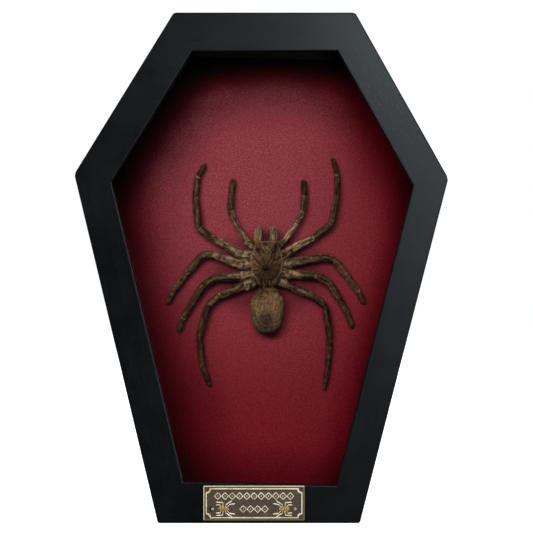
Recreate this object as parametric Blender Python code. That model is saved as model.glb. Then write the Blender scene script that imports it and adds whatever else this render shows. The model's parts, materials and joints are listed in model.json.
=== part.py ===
"""Framed tarantula specimen: a coffin-shaped shadow box with a dry spider set on its backing board.

Metres, +Z up. The front faces -Y and the box stands on its bottom rail. The origin is at the middle
of the underside of everything that the box carries.
"""
import math

import bmesh
import bpy
from mathutils import Matrix, Vector

MM = 0.001
FIT = 0.3 * MM  # gap between pieces that touch

# ---------------------------------------------------------------- frame, seen from the front
FRAME_HEIGHT = 300 * MM
SHOULDER_HALF_WIDTH = 109.9 * MM
LEFT_SHOULDER_Z = 205.1 * MM
RIGHT_SHOULDER_Z = 202.6 * MM
TOP_LEFT_X = -51.4 * MM
TOP_RIGHT_X = 55.2 * MM
BOTTOM_LEFT_X = -60.8 * MM
BOTTOM_RIGHT_X = 57.9 * MM

# Corners as (x, z), clockwise from the top left
OUTER_CORNERS = [
    Vector((TOP_LEFT_X, FRAME_HEIGHT)),
    Vector((TOP_RIGHT_X, FRAME_HEIGHT)),
    Vector((SHOULDER_HALF_WIDTH, RIGHT_SHOULDER_Z)),
    Vector((BOTTOM_RIGHT_X, 0.0)),
    Vector((BOTTOM_LEFT_X, 0.0)),
    Vector((-SHOULDER_HALF_WIDTH, LEFT_SHOULDER_Z)),
]

# Each rail runs from its corner to the next: name, width at its start, width at its end
RAILS = [
    ("top_rail", 23.1 * MM, 22.6 * MM),
    ("right_shoulder_rail", 20.2 * MM, 20.2 * MM),
    ("right_side_rail", 19.0 * MM, 19.0 * MM),
    ("bottom_rail", 21.8 * MM, 24.9 * MM),
    ("left_side_rail", 20.3 * MM, 20.3 * MM),
    ("left_shoulder_rail", 21.2 * MM, 21.2 * MM),
]
TOP, BOTTOM = 0, 3  # places of two of the rails in that list

# ---------------------------------------------------------------- frame, from front to back
FRAME_DEPTH = 36 * MM
LIP_THICKNESS = 6 * MM  # front lip that hides the edge of the glass
EDGE_RADIUS = 0.8 * MM  # worn front edges of a rail
EDGE_STEPS = 3
GLASS_THICKNESS = 2 * MM
GROOVE_DEPTH = 6 * MM  # groove for the glass, behind the lip
WALL_SETBACK = 3 * MM  # chamber wall, behind the lip's edge
BOARD_FRONT = 27 * MM  # step that the backing board rests against
REBATE_DEPTH = 8 * MM
BOARD_THICKNESS = 3 * MM
BOARD_SHORT_LEFT = -0.3 * MM  # how far the board stops below the lip's edge at the top
BOARD_SHORT_RIGHT = 3.1 * MM
PANEL_THICKNESS = 4 * MM
MITRE_OVERSHOOT = 12 * MM

# ---------------------------------------------------------------- name plate and its pins
PLATE_WIDTH = 59.4 * MM
PLATE_HEIGHT = 20.3 * MM
PLATE_THICKNESS = 1.0 * MM
PLATE_CORNER_RADIUS = 0.6 * MM
PLATE_CENTRE = Vector((-4.2 * MM, 12.0 * MM))
BORDER_INSET = 1.3 * MM
BORDER_WIDTH = 0.55 * MM
BORDER_RELIEF = 0.35 * MM
BORDER_SCALLOP_RADIUS = 2.4 * MM  # concave corners of the raised border
PIN_SPACING = 48.4 * MM
PIN_DROP = 3.3 * MM  # the pins sit below the plate's middle line
PIN_HEAD_RADIUS = 1.1 * MM
PIN_HEAD_HEIGHT = 0.8 * MM
PIN_SHANK_RADIUS = 0.5 * MM
PIN_LENGTH = 7 * MM

# ---------------------------------------------------------------- hanger and its nails
HANGER_LENGTH = 46 * MM
HANGER_HEIGHT = 8 * MM
HANGER_THICKNESS = 0.8 * MM
HANGER_STAND_OFF = 1.5 * MM
HANGER_BRIDGE_HALF = 15 * MM
HANGER_RAMP = 1.5 * MM
HANGER_TEETH = 9
TOOTH_DEPTH = 1.6 * MM
HANGER_DROP = 7.6 * MM  # from the top of the frame to the hanger's middle
NAIL_SPACING = 38 * MM
NAIL_HEAD_RADIUS = 1.9 * MM
NAIL_HEAD_HEIGHT = 0.7 * MM
NAIL_SHANK_RADIUS = 0.6 * MM
NAIL_LENGTH = 9 * MM

# The origin is midway between the pins' heads in front and the hanger's back or its nails behind
FRONT_PROUD = FIT + PLATE_THICKNESS + FIT + PIN_HEAD_HEIGHT
BACK_PROUD = FIT + HANGER_STAND_OFF + HANGER_THICKNESS
FACE_Y = FRONT_PROUD - (FRONT_PROUD + FRAME_DEPTH + BACK_PROUD) / 2
BACK_Y = FACE_Y + FRAME_DEPTH
BOARD_FACE_Y = FACE_Y + BOARD_FRONT + FIT

# ---------------------------------------------------------------- spider, in millimetres
# Its own frame: x to the right, height off the board, z towards the head, from the pit in the carapace
SPIDER_X = 2.8
SPIDER_Z = 149.6
ABDOMEN_CENTRE = (0.7, 6.9, -24.6)
ABDOMEN_HALF_SIZE = (10.2, 6.4, 15.1)
ABDOMEN_BLUNTNESS = 0.85
ABDOMEN_TAPER = 0.04
CARAPACE_CENTRE = (0.3, 6.2, 4.2)
CARAPACE_HALF_SIZE = (9.3, 4.9, 12.7)
CARAPACE_BLUNTNESS = 0.80
CARAPACE_TAPER = 0.10
STERNUM_CENTRE = (0.2, 3.6, 3.0)
STERNUM_HALF_SIZE = (8.0, 3.0, 9.0)
EYE_MOUND_CENTRE = (-0.5, 9.6, 13.4)
EYE_MOUND_HALF_SIZE = (2.0, 1.3, 1.4)
WAIST = [((0.3, 6.2, -3.0), 3.0), ((0.5, 6.4, -9.0), 3.2), ((0.6, 6.6, -15.0), 3.0)]
JAW_X = (-4.5, 4.1)  # middles of the two jaws
JAW_CENTRE_HEIGHT = 6.2
JAW_CENTRE_Z = 18.7
JAW_HALF_SIZE = (2.7, 3.5, 6.3)
JAW_BLUNTNESS = 0.85

# Joints of each leg from its root to its tip, as (x, z)
LEG_JOINTS = {
    "leg_1_left": [
        (-6, 6), (-14, 8.5), (-18, 11), (-32.5, 19.5),
        (-40, 24.5), (-42, 42.5), (-41, 55), (-37, 61.5),
    ],
    "leg_1_right": [
        (6, 5.5), (12.5, 8.5), (16, 11), (29, 18),
        (39.5, 26.5), (42.5, 43), (43, 56.5), (40, 65),
    ],
    "leg_2_left": [
        (-6, 2.5), (-13, 2.5), (-16.5, 2.5), (-32, 8),
        (-39, 8), (-48.5, -3), (-56, -14), (-59, -20.5),
    ],
    "leg_2_right": [
        (6.5, 2.5), (12.5, 3.5), (15.5, 4), (33, 6.5),
        (40, 5.5), (47.5, -4.5), (55, -14), (58.5, -20.5),
    ],
    "leg_3_left": [
        (-5.5, -2), (-12, -4.5), (-15, -5), (-30, -5.5),
        (-36, -9.5), (-44, -21.5), (-49, -31), (-51, -37),
    ],
    "leg_3_right": [
        (6, -2), (11.5, -3), (15, -3.5), (30.5, -5),
        (36.5, -8), (43.5, -18), (48.5, -27.5), (51.5, -35),
    ],
    "leg_4_left": [
        (-3.5, -5.5), (-9.5, -10), (-13, -11), (-28.5, -17.5),
        (-34.5, -22.5), (-40.5, -40.5), (-38, -59), (-34, -69.5),
    ],
    "leg_4_right": [
        (4, -5.5), (9.5, -9), (12, -10.5), (27.5, -18),
        (35, -23), (37.5, -40.5), (36.5, -58.5), (35, -72),
    ],
}
FEELER_JOINTS = {
    "feeler_left": [
        (-4.5, 12.5), (-9.5, 14.5), (-11.5, 17), (-18.5, 29),
        (-21, 34.5), (-20.5, 45), (-19.5, 53),
    ],
    "feeler_right": [
        (5, 12.5), (9.5, 15.5), (11.5, 17), (18.5, 27),
        (22.5, 34), (23.5, 44), (23, 53),
    ],
}
# Height of the joints off the board, and radius of the segment that follows each joint
LEG_HEIGHTS = [5.0, 5.6, 6.2, 8.6, 8.2, 5.0, 3.0, 2.1]
LEG_RADII = [3.0, 2.8, 2.5, 2.4, 2.25, 1.95, 1.8]
FEELER_HEIGHTS = [5.2, 5.4, 5.8, 6.4, 5.6, 3.6, 2.2]
FEELER_RADII = [2.1, 2.0, 1.75, 1.75, 1.7, 1.8]
JOINT_NECK = 0.86  # a leg is this much thinner at a joint
SEGMENT_STATIONS = (0.25, 0.78)  # places of a segment's full thickness
TIP_STATION = 0.94
TIP_RADIUS_AT_STATION = 0.80
TIP_RADIUS_AT_END = 0.40
LEG_BEVEL_RESOLUTION = 2


# ---------------------------------------------------------------- helpers
def clear_scene():
    """Remove whatever the scene holds."""
    for thing in list(bpy.data.objects):
        bpy.data.objects.remove(thing, do_unlink=True)


def material(name, colour, roughness, metallic=0.0, alpha=1.0, transmission=0.0):
    """A material with one Principled BSDF."""
    made = bpy.data.materials.new(name)
    made.use_nodes = True
    shader = made.node_tree.nodes["Principled BSDF"]
    shader.inputs["Base Color"].default_value = (*colour, 1.0)
    shader.inputs["Roughness"].default_value = roughness
    shader.inputs["Metallic"].default_value = metallic
    shader.inputs["Alpha"].default_value = alpha
    shader.inputs["Transmission Weight"].default_value = transmission
    return made


def add_object(name, mesh, finish=None):
    """Put a mesh in the scene under a name."""
    thing = bpy.data.objects.new(name, mesh)
    bpy.context.scene.collection.objects.link(thing)
    if finish is not None:
        mesh.materials.append(finish)
    return thing


def object_from_bmesh(name, shape, finish=None, smooth_angle=None):
    """Turn a bmesh into a named object with its faces pointing out."""
    bmesh.ops.recalc_face_normals(shape, faces=shape.faces)
    mesh = bpy.data.meshes.new(name)
    shape.to_mesh(mesh)
    shape.free()
    if smooth_angle is not None:
        mesh.shade_smooth()
        mesh.set_sharp_from_angle(angle=smooth_angle)
    return add_object(name, mesh, finish)


def boolean(target, tool, operation):
    """Join a tool to a target, or cut it out, and drop the tool."""
    modifier = target.modifiers.new(operation.lower(), "BOOLEAN")
    modifier.operation = operation
    modifier.solver = "EXACT"
    modifier.object = tool
    graph = bpy.context.evaluated_depsgraph_get()
    result = bpy.data.meshes.new_from_object(target.evaluated_get(graph))
    target.modifiers.clear()
    target.data = result
    bpy.data.objects.remove(tool, do_unlink=True)


def drill(target, x, z, radius, y_start, y_end):
    """Cut a round hole along Y."""
    shape = bmesh.new()
    place = Matrix.Translation((x, (y_start + y_end) / 2, z)) @ Matrix.Rotation(math.pi / 2, 4, "X")
    depth = abs(y_end - y_start)
    bmesh.ops.create_cone(
        shape, cap_ends=True, segments=12, radius1=radius, radius2=radius, depth=depth, matrix=place
    )
    boolean(target, object_from_bmesh("drill", shape), "DIFFERENCE")


def extrude_outline(corners, y_front, y_back):
    """Make a flat-sided solid from (x, z) corners."""
    shape = bmesh.new()
    face = shape.faces.new([shape.verts.new((x, y_front, z)) for x, z in corners])
    grown = bmesh.ops.extrude_face_region(shape, geom=[face])
    moved = [item for item in grown["geom"] if isinstance(item, bmesh.types.BMVert)]
    bmesh.ops.translate(shape, verts=moved, vec=(0.0, y_back - y_front, 0.0))
    return shape


def arc(centre, radius, start, end, steps):
    """Points on an arc, as (across, along), from one angle to another."""
    angles = [start + (end - start) * i / steps for i in range(steps + 1)]
    return [(centre[0] + radius * math.cos(a), centre[1] + radius * math.sin(a)) for a in angles]


# ---------------------------------------------------------------- frame
def rail_axes(index):
    """Start corner, direction along a rail and direction into the frame."""
    start = OUTER_CORNERS[index]
    along = (OUTER_CORNERS[(index + 1) % 6] - start).normalized()
    return start, along, Vector((along.y, -along.x))


def inset_line(index, start_inset, end_inset):
    """A point on the line set in from a rail's outer edge, and the line's direction."""
    start, along, inward = rail_axes(index)
    length = (OUTER_CORNERS[(index + 1) % 6] - start).length
    first = start + inward * start_inset
    last = start + along * length + inward * end_inset
    return first, (last - first).normalized()


def inner_outline(growth, top_insets=None):
    """Corners of the opening, grown by a distance into every rail."""
    lines = []
    for index, (_, start_width, end_width) in enumerate(RAILS):
        insets = (start_width - growth, end_width - growth)
        if index == TOP and top_insets is not None:
            insets = top_insets
        lines.append(inset_line(index, *insets))
    corners = []
    for index in range(6):
        point_a, along_a = lines[index - 1]
        point_b, along_b = lines[index]
        gap = point_b - point_a
        reach = (gap.x * along_b.y - gap.y * along_b.x) / (along_a.x * along_b.y - along_a.y * along_b.x)
        corners.append(point_a + along_a * reach)
    return corners


def rail_profile(width):
    """Cross-section of a rail as (distance in from the outer edge, depth behind the face)."""
    edge = EDGE_RADIUS
    outer_edge = arc((edge, edge), edge, math.pi, 1.5 * math.pi, EDGE_STEPS)
    lip_edge = arc((width - edge, edge), edge, 1.5 * math.pi, 2 * math.pi, EDGE_STEPS)
    groove_back = LIP_THICKNESS + GLASS_THICKNESS + 2 * FIT
    return outer_edge + lip_edge + [
        (width, LIP_THICKNESS),
        (width - GROOVE_DEPTH, LIP_THICKNESS),
        (width - GROOVE_DEPTH, groove_back),
        (width - WALL_SETBACK, groove_back),
        (width - WALL_SETBACK, BOARD_FRONT),
        (width - REBATE_DEPTH, BOARD_FRONT),
        (width - REBATE_DEPTH, FRAME_DEPTH),
        (0.0, FRAME_DEPTH),
    ]


def cut_mitre(shape, outer, inner, away):
    """Cut a rail square to the face, along the line from its outer to its inner corner."""
    mitre = (inner - outer).normalized()
    normal = Vector((mitre.y, -mitre.x))
    if normal.dot(away) < 0:
        normal = -normal
    point = outer - normal * FIT / 2
    everything = list(shape.verts) + list(shape.edges) + list(shape.faces)
    cut = bmesh.ops.bisect_plane(
        shape,
        geom=everything,
        dist=1e-7,
        plane_co=(point.x, 0.0, point.y),
        plane_no=(normal.x, 0.0, normal.y),
        clear_outer=True,
    )
    edges = [item for item in cut["geom_cut"] if isinstance(item, bmesh.types.BMEdge)]
    bmesh.ops.edgeloop_fill(shape, edges=edges)


def build_rail(index, openings, finish):
    """One rail of the frame, mitred at both ends."""
    name, start_width, end_width = RAILS[index]
    start, along, inward = rail_axes(index)
    end = OUTER_CORNERS[(index + 1) % 6]
    length = (end - start).length
    taper = (end_width - start_width) / length
    first_width = start_width - taper * MITRE_OVERSHOOT
    blank_length = length + 2 * MITRE_OVERSHOOT
    base = start - along * MITRE_OVERSHOOT
    corners = []
    for inset, depth in rail_profile(first_width):
        place = base + inward * inset
        corners.append((place.x, FACE_Y + depth, place.y))
    shape = bmesh.new()
    face = shape.faces.new([shape.verts.new(corner) for corner in corners])
    grown = bmesh.ops.extrude_face_region(shape, geom=[face])
    for vert in [item for item in grown["geom"] if isinstance(item, bmesh.types.BMVert)]:
        inset = (Vector((vert.co.x, vert.co.z)) - base).dot(inward)
        widening = taper * blank_length if inset > first_width / 2 else 0.0
        move = along * blank_length + inward * widening
        vert.co += Vector((move.x, 0.0, move.y))
    cut_mitre(shape, start, openings[index], -along)
    cut_mitre(shape, end, openings[(index + 1) % 6], along)
    return object_from_bmesh(name, shape, finish)


def build_frame(wood, glass, crimson, board_back):
    """The six rails, the glass, the backing board and the back panel."""
    openings = inner_outline(0.0)
    rails = [build_rail(index, openings, wood) for index in range(6)]

    glass_front = FACE_Y + LIP_THICKNESS + FIT
    pane = extrude_outline(inner_outline(GROOVE_DEPTH - FIT), glass_front, glass_front + GLASS_THICKNESS)
    object_from_bmesh("glass_pane", pane, glass)

    top_insets = (RAILS[TOP][1] + BOARD_SHORT_LEFT, RAILS[TOP][2] + BOARD_SHORT_RIGHT)
    board = extrude_outline(
        inner_outline(REBATE_DEPTH - FIT, top_insets), BOARD_FACE_Y, BOARD_FACE_Y + BOARD_THICKNESS
    )
    object_from_bmesh("backing_board", board, crimson)

    panel_front = BOARD_FACE_Y + BOARD_THICKNESS + FIT
    panel = extrude_outline(inner_outline(REBATE_DEPTH - FIT), panel_front, panel_front + PANEL_THICKNESS)
    object_from_bmesh("back_panel", panel, board_back)
    return rails


# ---------------------------------------------------------------- name plate
def plate_border_outline(inset):
    """Outline of the raised border, whose corners are scooped out."""
    half_width = PLATE_WIDTH / 2 - inset
    half_height = PLATE_HEIGHT / 2 - inset
    quarter = math.pi / 2
    corners = [(1, 1, 2), (1, -1, 1), (-1, -1, 0), (-1, 1, 3)]
    points = []
    for side_x, side_z, turn in corners:
        centre = (side_x * half_width, side_z * half_height)
        points += arc(centre, BORDER_SCALLOP_RADIUS, turn * quarter, (turn + 1) * quarter, 4)
    return [(PLATE_CENTRE.x + x, PLATE_CENTRE.y + z) for x, z in points]


def plate_outline():
    """Outline of the plate, with small round corners."""
    half_width = PLATE_WIDTH / 2 - PLATE_CORNER_RADIUS
    half_height = PLATE_HEIGHT / 2 - PLATE_CORNER_RADIUS
    quarter = math.pi / 2
    points = []
    for side_x, side_z, turn in [(1, 1, 0), (-1, 1, 1), (-1, -1, 2), (1, -1, 3)]:
        centre = (side_x * half_width, side_z * half_height)
        points += arc(centre, PLATE_CORNER_RADIUS, turn * quarter, (turn + 1) * quarter, 3)
    return [(PLATE_CENTRE.x + x, PLATE_CENTRE.y + z) for x, z in points]


def pin_places():
    """Middle of each plate pin, as (x, z)."""
    z = PLATE_CENTRE.y - PIN_DROP
    return [(PLATE_CENTRE.x - PIN_SPACING / 2, z), (PLATE_CENTRE.x + PIN_SPACING / 2, z)]


def domed_nail(name, x, z, y_seat, outward, head_radius, head_height, shank_radius, length, finish):
    """A round-headed nail along Y, turned from its profile; outward is -1 to the front, 1 to the back."""
    dome = arc((0.0, 0.0), 1.0, math.pi / 2, 0.0, 4)
    profile = [(0.0 if i == 0 else head_radius * u, head_height * v) for i, (u, v) in enumerate(dome)]
    profile += [(shank_radius, 0.0), (shank_radius, shank_radius - length), (0.0, -length)]
    shape = bmesh.new()
    verts = [shape.verts.new((radius, 0.0, height)) for radius, height in profile]
    edges = [shape.edges.new(pair) for pair in zip(verts, verts[1:])]
    bmesh.ops.spin(
        shape,
        geom=verts + edges,
        cent=(0, 0, 0),
        axis=(0, 0, 1),
        angle=2 * math.pi,
        steps=12,
        use_merge=True,
    )
    bmesh.ops.remove_doubles(shape, verts=shape.verts, dist=1e-6)
    turn = Matrix.Rotation(-outward * math.pi / 2, 4, "X")
    bmesh.ops.transform(shape, matrix=Matrix.Translation((x, y_seat, z)) @ turn, verts=shape.verts)
    return object_from_bmesh(name, shape, finish, math.radians(40))


def build_name_plate(bottom_rail, brass):
    """The plate with its raised border, its pins and the holes that the pins go into."""
    back_y = FACE_Y - FIT
    front_y = back_y - PLATE_THICKNESS
    plate = object_from_bmesh("name_plate", extrude_outline(plate_outline(), front_y, back_y), brass)
    rim_front = front_y - BORDER_RELIEF
    outside = extrude_outline(plate_border_outline(BORDER_INSET), rim_front, front_y + PLATE_THICKNESS / 2)
    rim = object_from_bmesh("rim", outside)
    inside = extrude_outline(plate_border_outline(BORDER_INSET + BORDER_WIDTH), rim_front - MM, front_y + MM)
    hollow = object_from_bmesh("hollow", inside)
    boolean(rim, hollow, "DIFFERENCE")
    boolean(plate, rim, "UNION")
    seat_y = front_y - FIT
    hole_radius = PIN_SHANK_RADIUS + FIT
    for name, (x, z) in zip(("plate_pin_left", "plate_pin_right"), pin_places()):
        drill(plate, x, z, hole_radius, front_y - MM, back_y + MM)
        drill(bottom_rail, x, z, hole_radius, FACE_Y - MM, seat_y + PIN_LENGTH + FIT)
        domed_nail(
            name, x, z, seat_y, -1, PIN_HEAD_RADIUS, PIN_HEAD_HEIGHT, PIN_SHANK_RADIUS, PIN_LENGTH, brass
        )


# ---------------------------------------------------------------- hanger
def hanger_outline(x_middle, z_middle):
    """Outline of the hanger, with teeth along its lower edge in the raised middle."""
    half_length = HANGER_LENGTH / 2
    half_height = HANGER_HEIGHT / 2
    reach = HANGER_BRIDGE_HALF - 2 * HANGER_RAMP
    pitch = 2 * reach / HANGER_TEETH
    points = [(-half_length, half_height), (half_length, half_height), (half_length, -half_height)]
    for tooth in range(HANGER_TEETH, 0, -1):
        left = -reach + (tooth - 1) * pitch
        points.append((left + pitch, -half_height))
        points.append((left + pitch / 2, -half_height + TOOTH_DEPTH))
    points += [(-reach, -half_height), (-half_length, -half_height)]
    return [(x_middle + x, z_middle + z) for x, z in points]


def build_hanger(top_rail, steel):
    """The pressed sawtooth hanger, its two nails and their holes."""
    x_middle = (TOP_LEFT_X + TOP_RIGHT_X) / 2
    z_middle = FRAME_HEIGHT - HANGER_DROP
    front_y = BACK_Y + FIT
    shape = extrude_outline(hanger_outline(x_middle, z_middle), front_y, front_y + HANGER_THICKNESS)
    bends = [-HANGER_BRIDGE_HALF, HANGER_RAMP - HANGER_BRIDGE_HALF]
    bends += [-bend for bend in bends]
    for bend in bends:
        everything = list(shape.verts) + list(shape.edges) + list(shape.faces)
        bmesh.ops.bisect_plane(
            shape, geom=everything, dist=1e-7, plane_co=(x_middle + bend, 0, 0), plane_no=(1, 0, 0)
        )
    raised = HANGER_BRIDGE_HALF - HANGER_RAMP / 2
    bridge = [vert for vert in shape.verts if abs(vert.co.x - x_middle) < raised]
    bmesh.ops.translate(shape, verts=bridge, vec=(0.0, HANGER_STAND_OFF, 0.0))
    hanger = object_from_bmesh("sawtooth_hanger", shape, steel)

    seat_y = front_y + HANGER_THICKNESS + FIT
    hole_radius = NAIL_SHANK_RADIUS + FIT
    for name, side in (("hanger_nail_left", -1), ("hanger_nail_right", 1)):
        x = x_middle + side * NAIL_SPACING / 2
        drill(hanger, x, z_middle, hole_radius, front_y - MM, front_y + HANGER_THICKNESS + MM)
        drill(top_rail, x, z_middle, hole_radius, seat_y - NAIL_LENGTH - FIT, BACK_Y + MM)
        domed_nail(
            name,
            x,
            z_middle,
            seat_y,
            1,
            NAIL_HEAD_RADIUS,
            NAIL_HEAD_HEIGHT,
            NAIL_SHANK_RADIUS,
            NAIL_LENGTH,
            steel,
        )


# ---------------------------------------------------------------- spider
def on_board(x, height, z):
    """A point of the spider, given in millimetres in its own frame."""
    return Vector(((SPIDER_X + x) * MM, BOARD_FACE_Y - height * MM, (SPIDER_Z + z) * MM))


def body_lump(name, centre, half_size, segments, rings, bluntness=1.0, taper=0.0):
    """A rounded body part: a ball, stretched, squared off and narrowed towards the head."""
    shape = bmesh.new()
    bmesh.ops.create_uvsphere(shape, u_segments=segments, v_segments=rings, radius=1.0)
    for vert in shape.verts:
        x, height, z = (math.copysign(abs(value) ** bluntness, value) for value in vert.co)
        x *= 1.0 - taper * z
        offset = (x * half_size[0], height * half_size[1], z * half_size[2])
        vert.co = on_board(*(c + o for c, o in zip(centre, offset)))
    return object_from_bmesh(name, shape)


def tube(name, stations):
    """A closed tube through stations of (point in millimetres, radius in millimetres)."""
    curve = bpy.data.curves.new(name, "CURVE")
    curve.dimensions = "3D"
    curve.bevel_depth = MM
    curve.bevel_resolution = LEG_BEVEL_RESOLUTION
    curve.use_fill_caps = True
    spline = curve.splines.new("POLY")
    spline.points.add(len(stations) - 1)
    for point, (place, radius) in zip(spline.points, stations):
        point.co = (*on_board(*place), 1.0)
        point.radius = radius
    guide = add_object(name, curve)
    graph = bpy.context.evaluated_depsgraph_get()
    mesh = bpy.data.meshes.new_from_object(guide.evaluated_get(graph))
    bpy.data.objects.remove(guide, do_unlink=True)
    shape = bmesh.new()
    shape.from_mesh(mesh)
    bmesh.ops.remove_doubles(shape, verts=shape.verts, dist=1e-6)
    return object_from_bmesh(name, shape)


def limb_stations(joints, heights, radii):
    """Stations of a jointed limb: full along each segment, and drawn in at each joint."""
    places = [(x, height, z) for (x, z), height in zip(joints, heights)]
    stations = []
    for index, radius in enumerate(radii):
        start, end = Vector(places[index]), Vector(places[index + 1])
        neck = JOINT_NECK * min(radius, radii[max(index - 1, 0)])
        stations.append((start, neck))
        for share in SEGMENT_STATIONS:
            stations.append((start.lerp(end, share), radius))
    stations.append((start.lerp(end, TIP_STATION), radii[-1] * TIP_RADIUS_AT_STATION))
    stations.append((end, radii[-1] * TIP_RADIUS_AT_END))
    return stations


def build_tarantula(skin):
    """The whole spider as one solid."""
    spider = body_lump(
        "tarantula", CARAPACE_CENTRE, CARAPACE_HALF_SIZE, 20, 14, CARAPACE_BLUNTNESS, CARAPACE_TAPER
    )
    parts = [
        body_lump("sternum", STERNUM_CENTRE, STERNUM_HALF_SIZE, 14, 8),
        tube("waist", WAIST),
        body_lump("abdomen", ABDOMEN_CENTRE, ABDOMEN_HALF_SIZE, 22, 14, ABDOMEN_BLUNTNESS, ABDOMEN_TAPER),
        body_lump("eye_mound", EYE_MOUND_CENTRE, EYE_MOUND_HALF_SIZE, 10, 6),
    ]
    for jaw_x in JAW_X:
        jaw_centre = (jaw_x, JAW_CENTRE_HEIGHT, JAW_CENTRE_Z)
        parts.append(body_lump("jaw", jaw_centre, JAW_HALF_SIZE, 14, 9, JAW_BLUNTNESS))
    for name, joints in LEG_JOINTS.items():
        parts.append(tube(name, limb_stations(joints, LEG_HEIGHTS, LEG_RADII)))
    for name, joints in FEELER_JOINTS.items():
        parts.append(tube(name, limb_stations(joints, FEELER_HEIGHTS, FEELER_RADII)))
    for piece in parts:
        boolean(spider, piece, "UNION")
    spider.data.materials.clear()
    spider.data.materials.append(skin)
    spider.data.shade_smooth()
    spider.data.set_sharp_from_angle(angle=math.radians(50))
    return spider


def main():
    """Build the whole box."""
    clear_scene()
    black_paint = material("black_paint", (0.012, 0.013, 0.015), 0.45)
    clear_glass = material("clear_glass", (0.95, 0.97, 0.97), 0.02, transmission=1.0)
    crimson = material("crimson_leatherette", (0.20, 0.012, 0.022), 0.6)
    hardboard = material("hardboard", (0.05, 0.04, 0.035), 0.75)
    brass = material("antique_brass", (0.45, 0.36, 0.22), 0.4, metallic=0.9)
    steel = material("zinc_steel", (0.6, 0.6, 0.58), 0.35, metallic=1.0)
    skin = material("spider_skin", (0.10, 0.07, 0.04), 0.85)

    rails = build_frame(black_paint, clear_glass, crimson, hardboard)
    build_name_plate(rails[BOTTOM], brass)
    build_hanger(rails[TOP], steel)
    build_tarantula(skin)


main()
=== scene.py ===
"""Looks of a framed tarantula: painted coffin frame, crimson backing, brass plate and a dry spider."""

import json
import logging
import math
from collections.abc import Callable, Iterable, Sequence
from dataclasses import dataclass
from enum import Enum

import bmesh
import bpy
import numpy as np
from mathutils import Matrix, Vector, noise

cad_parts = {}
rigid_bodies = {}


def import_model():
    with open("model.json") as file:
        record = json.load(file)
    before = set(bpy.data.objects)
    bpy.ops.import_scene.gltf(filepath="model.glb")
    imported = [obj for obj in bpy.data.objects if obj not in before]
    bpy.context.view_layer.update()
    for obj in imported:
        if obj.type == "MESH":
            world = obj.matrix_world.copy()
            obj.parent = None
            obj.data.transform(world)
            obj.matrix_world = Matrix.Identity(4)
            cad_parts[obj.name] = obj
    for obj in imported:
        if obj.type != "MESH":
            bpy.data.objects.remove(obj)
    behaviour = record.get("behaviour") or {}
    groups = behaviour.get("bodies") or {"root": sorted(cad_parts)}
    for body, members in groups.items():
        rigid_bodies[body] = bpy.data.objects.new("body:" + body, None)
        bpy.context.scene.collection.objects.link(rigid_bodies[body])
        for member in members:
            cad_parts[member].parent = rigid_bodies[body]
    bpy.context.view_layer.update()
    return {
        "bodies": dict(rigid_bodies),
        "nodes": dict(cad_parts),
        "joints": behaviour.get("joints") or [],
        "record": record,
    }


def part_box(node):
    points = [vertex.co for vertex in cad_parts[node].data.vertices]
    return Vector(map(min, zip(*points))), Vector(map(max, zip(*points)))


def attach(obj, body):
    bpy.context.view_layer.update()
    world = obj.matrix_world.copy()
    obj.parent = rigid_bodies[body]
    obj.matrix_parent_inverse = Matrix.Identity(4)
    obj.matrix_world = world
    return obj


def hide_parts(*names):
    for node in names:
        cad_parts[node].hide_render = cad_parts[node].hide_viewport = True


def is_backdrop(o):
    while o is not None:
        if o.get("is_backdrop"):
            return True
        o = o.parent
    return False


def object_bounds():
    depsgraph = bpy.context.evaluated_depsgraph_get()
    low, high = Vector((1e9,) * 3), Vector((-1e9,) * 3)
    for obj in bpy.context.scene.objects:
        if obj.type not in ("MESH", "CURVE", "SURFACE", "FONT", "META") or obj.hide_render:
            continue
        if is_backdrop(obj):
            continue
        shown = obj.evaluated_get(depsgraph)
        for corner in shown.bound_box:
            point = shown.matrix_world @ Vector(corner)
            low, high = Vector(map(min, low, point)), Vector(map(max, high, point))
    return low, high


log = logging.getLogger("framed_tarantula")

MM = 0.001
ROOT = "root"
TOUCHING = 1e-6
FLAT = math.radians(0.5)

Pair = tuple[float, float]
Triple = tuple[float, float, float]
Colour = tuple[float, float, float]
Socket = bpy.types.NodeSocket
Side = tuple[Vector, float]

WHITE: Colour = (1.0, 1.0, 1.0)


# ---------------------------------------------------------------- shader maths


class Field:
    """A value that varies over a surface; plain arithmetic on it adds Math nodes."""

    def __init__(self, shading: "Shading", socket: Socket) -> None:
        """Wrap one output socket.

        Args:
            shading: the node tree that the socket belongs to.
            socket: the output that carries the value.
        """
        self.shading = shading
        self.socket = socket

    def _math(self, operation: str, *values: "Field | float") -> "Field":
        """One Math node on these values."""
        inputs = dict(enumerate(values))
        return self.shading.field("ShaderNodeMath", {"operation": operation}, inputs)

    def __add__(self, other: "Field | float") -> "Field":
        """This plus other."""
        return self._math("ADD", self, other)

    def __sub__(self, other: "Field | float") -> "Field":
        """This minus other."""
        return self._math("SUBTRACT", self, other)

    def __rsub__(self, other: float) -> "Field":
        """A number minus this."""
        return self._math("SUBTRACT", other, self)

    def __mul__(self, other: "Field | float") -> "Field":
        """This times other."""
        return self._math("MULTIPLY", self, other)

    __radd__ = __add__
    __rmul__ = __mul__

    def larger(self, other: "Field | float") -> "Field":
        """The larger of this and other."""
        return self._math("MAXIMUM", self, other)

    def smaller(self, other: "Field | float") -> "Field":
        """The smaller of this and other."""
        return self._math("MINIMUM", self, other)

    def smooth(self, low: float, high: float) -> "Field":
        """0 at low and 1 at high, with a soft step between them; low may be the larger."""
        settings = {"interpolation_type": "SMOOTHSTEP"}
        return self.shading.field("ShaderNodeMapRange", settings, {0: self, 1: low, 2: high})


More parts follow.
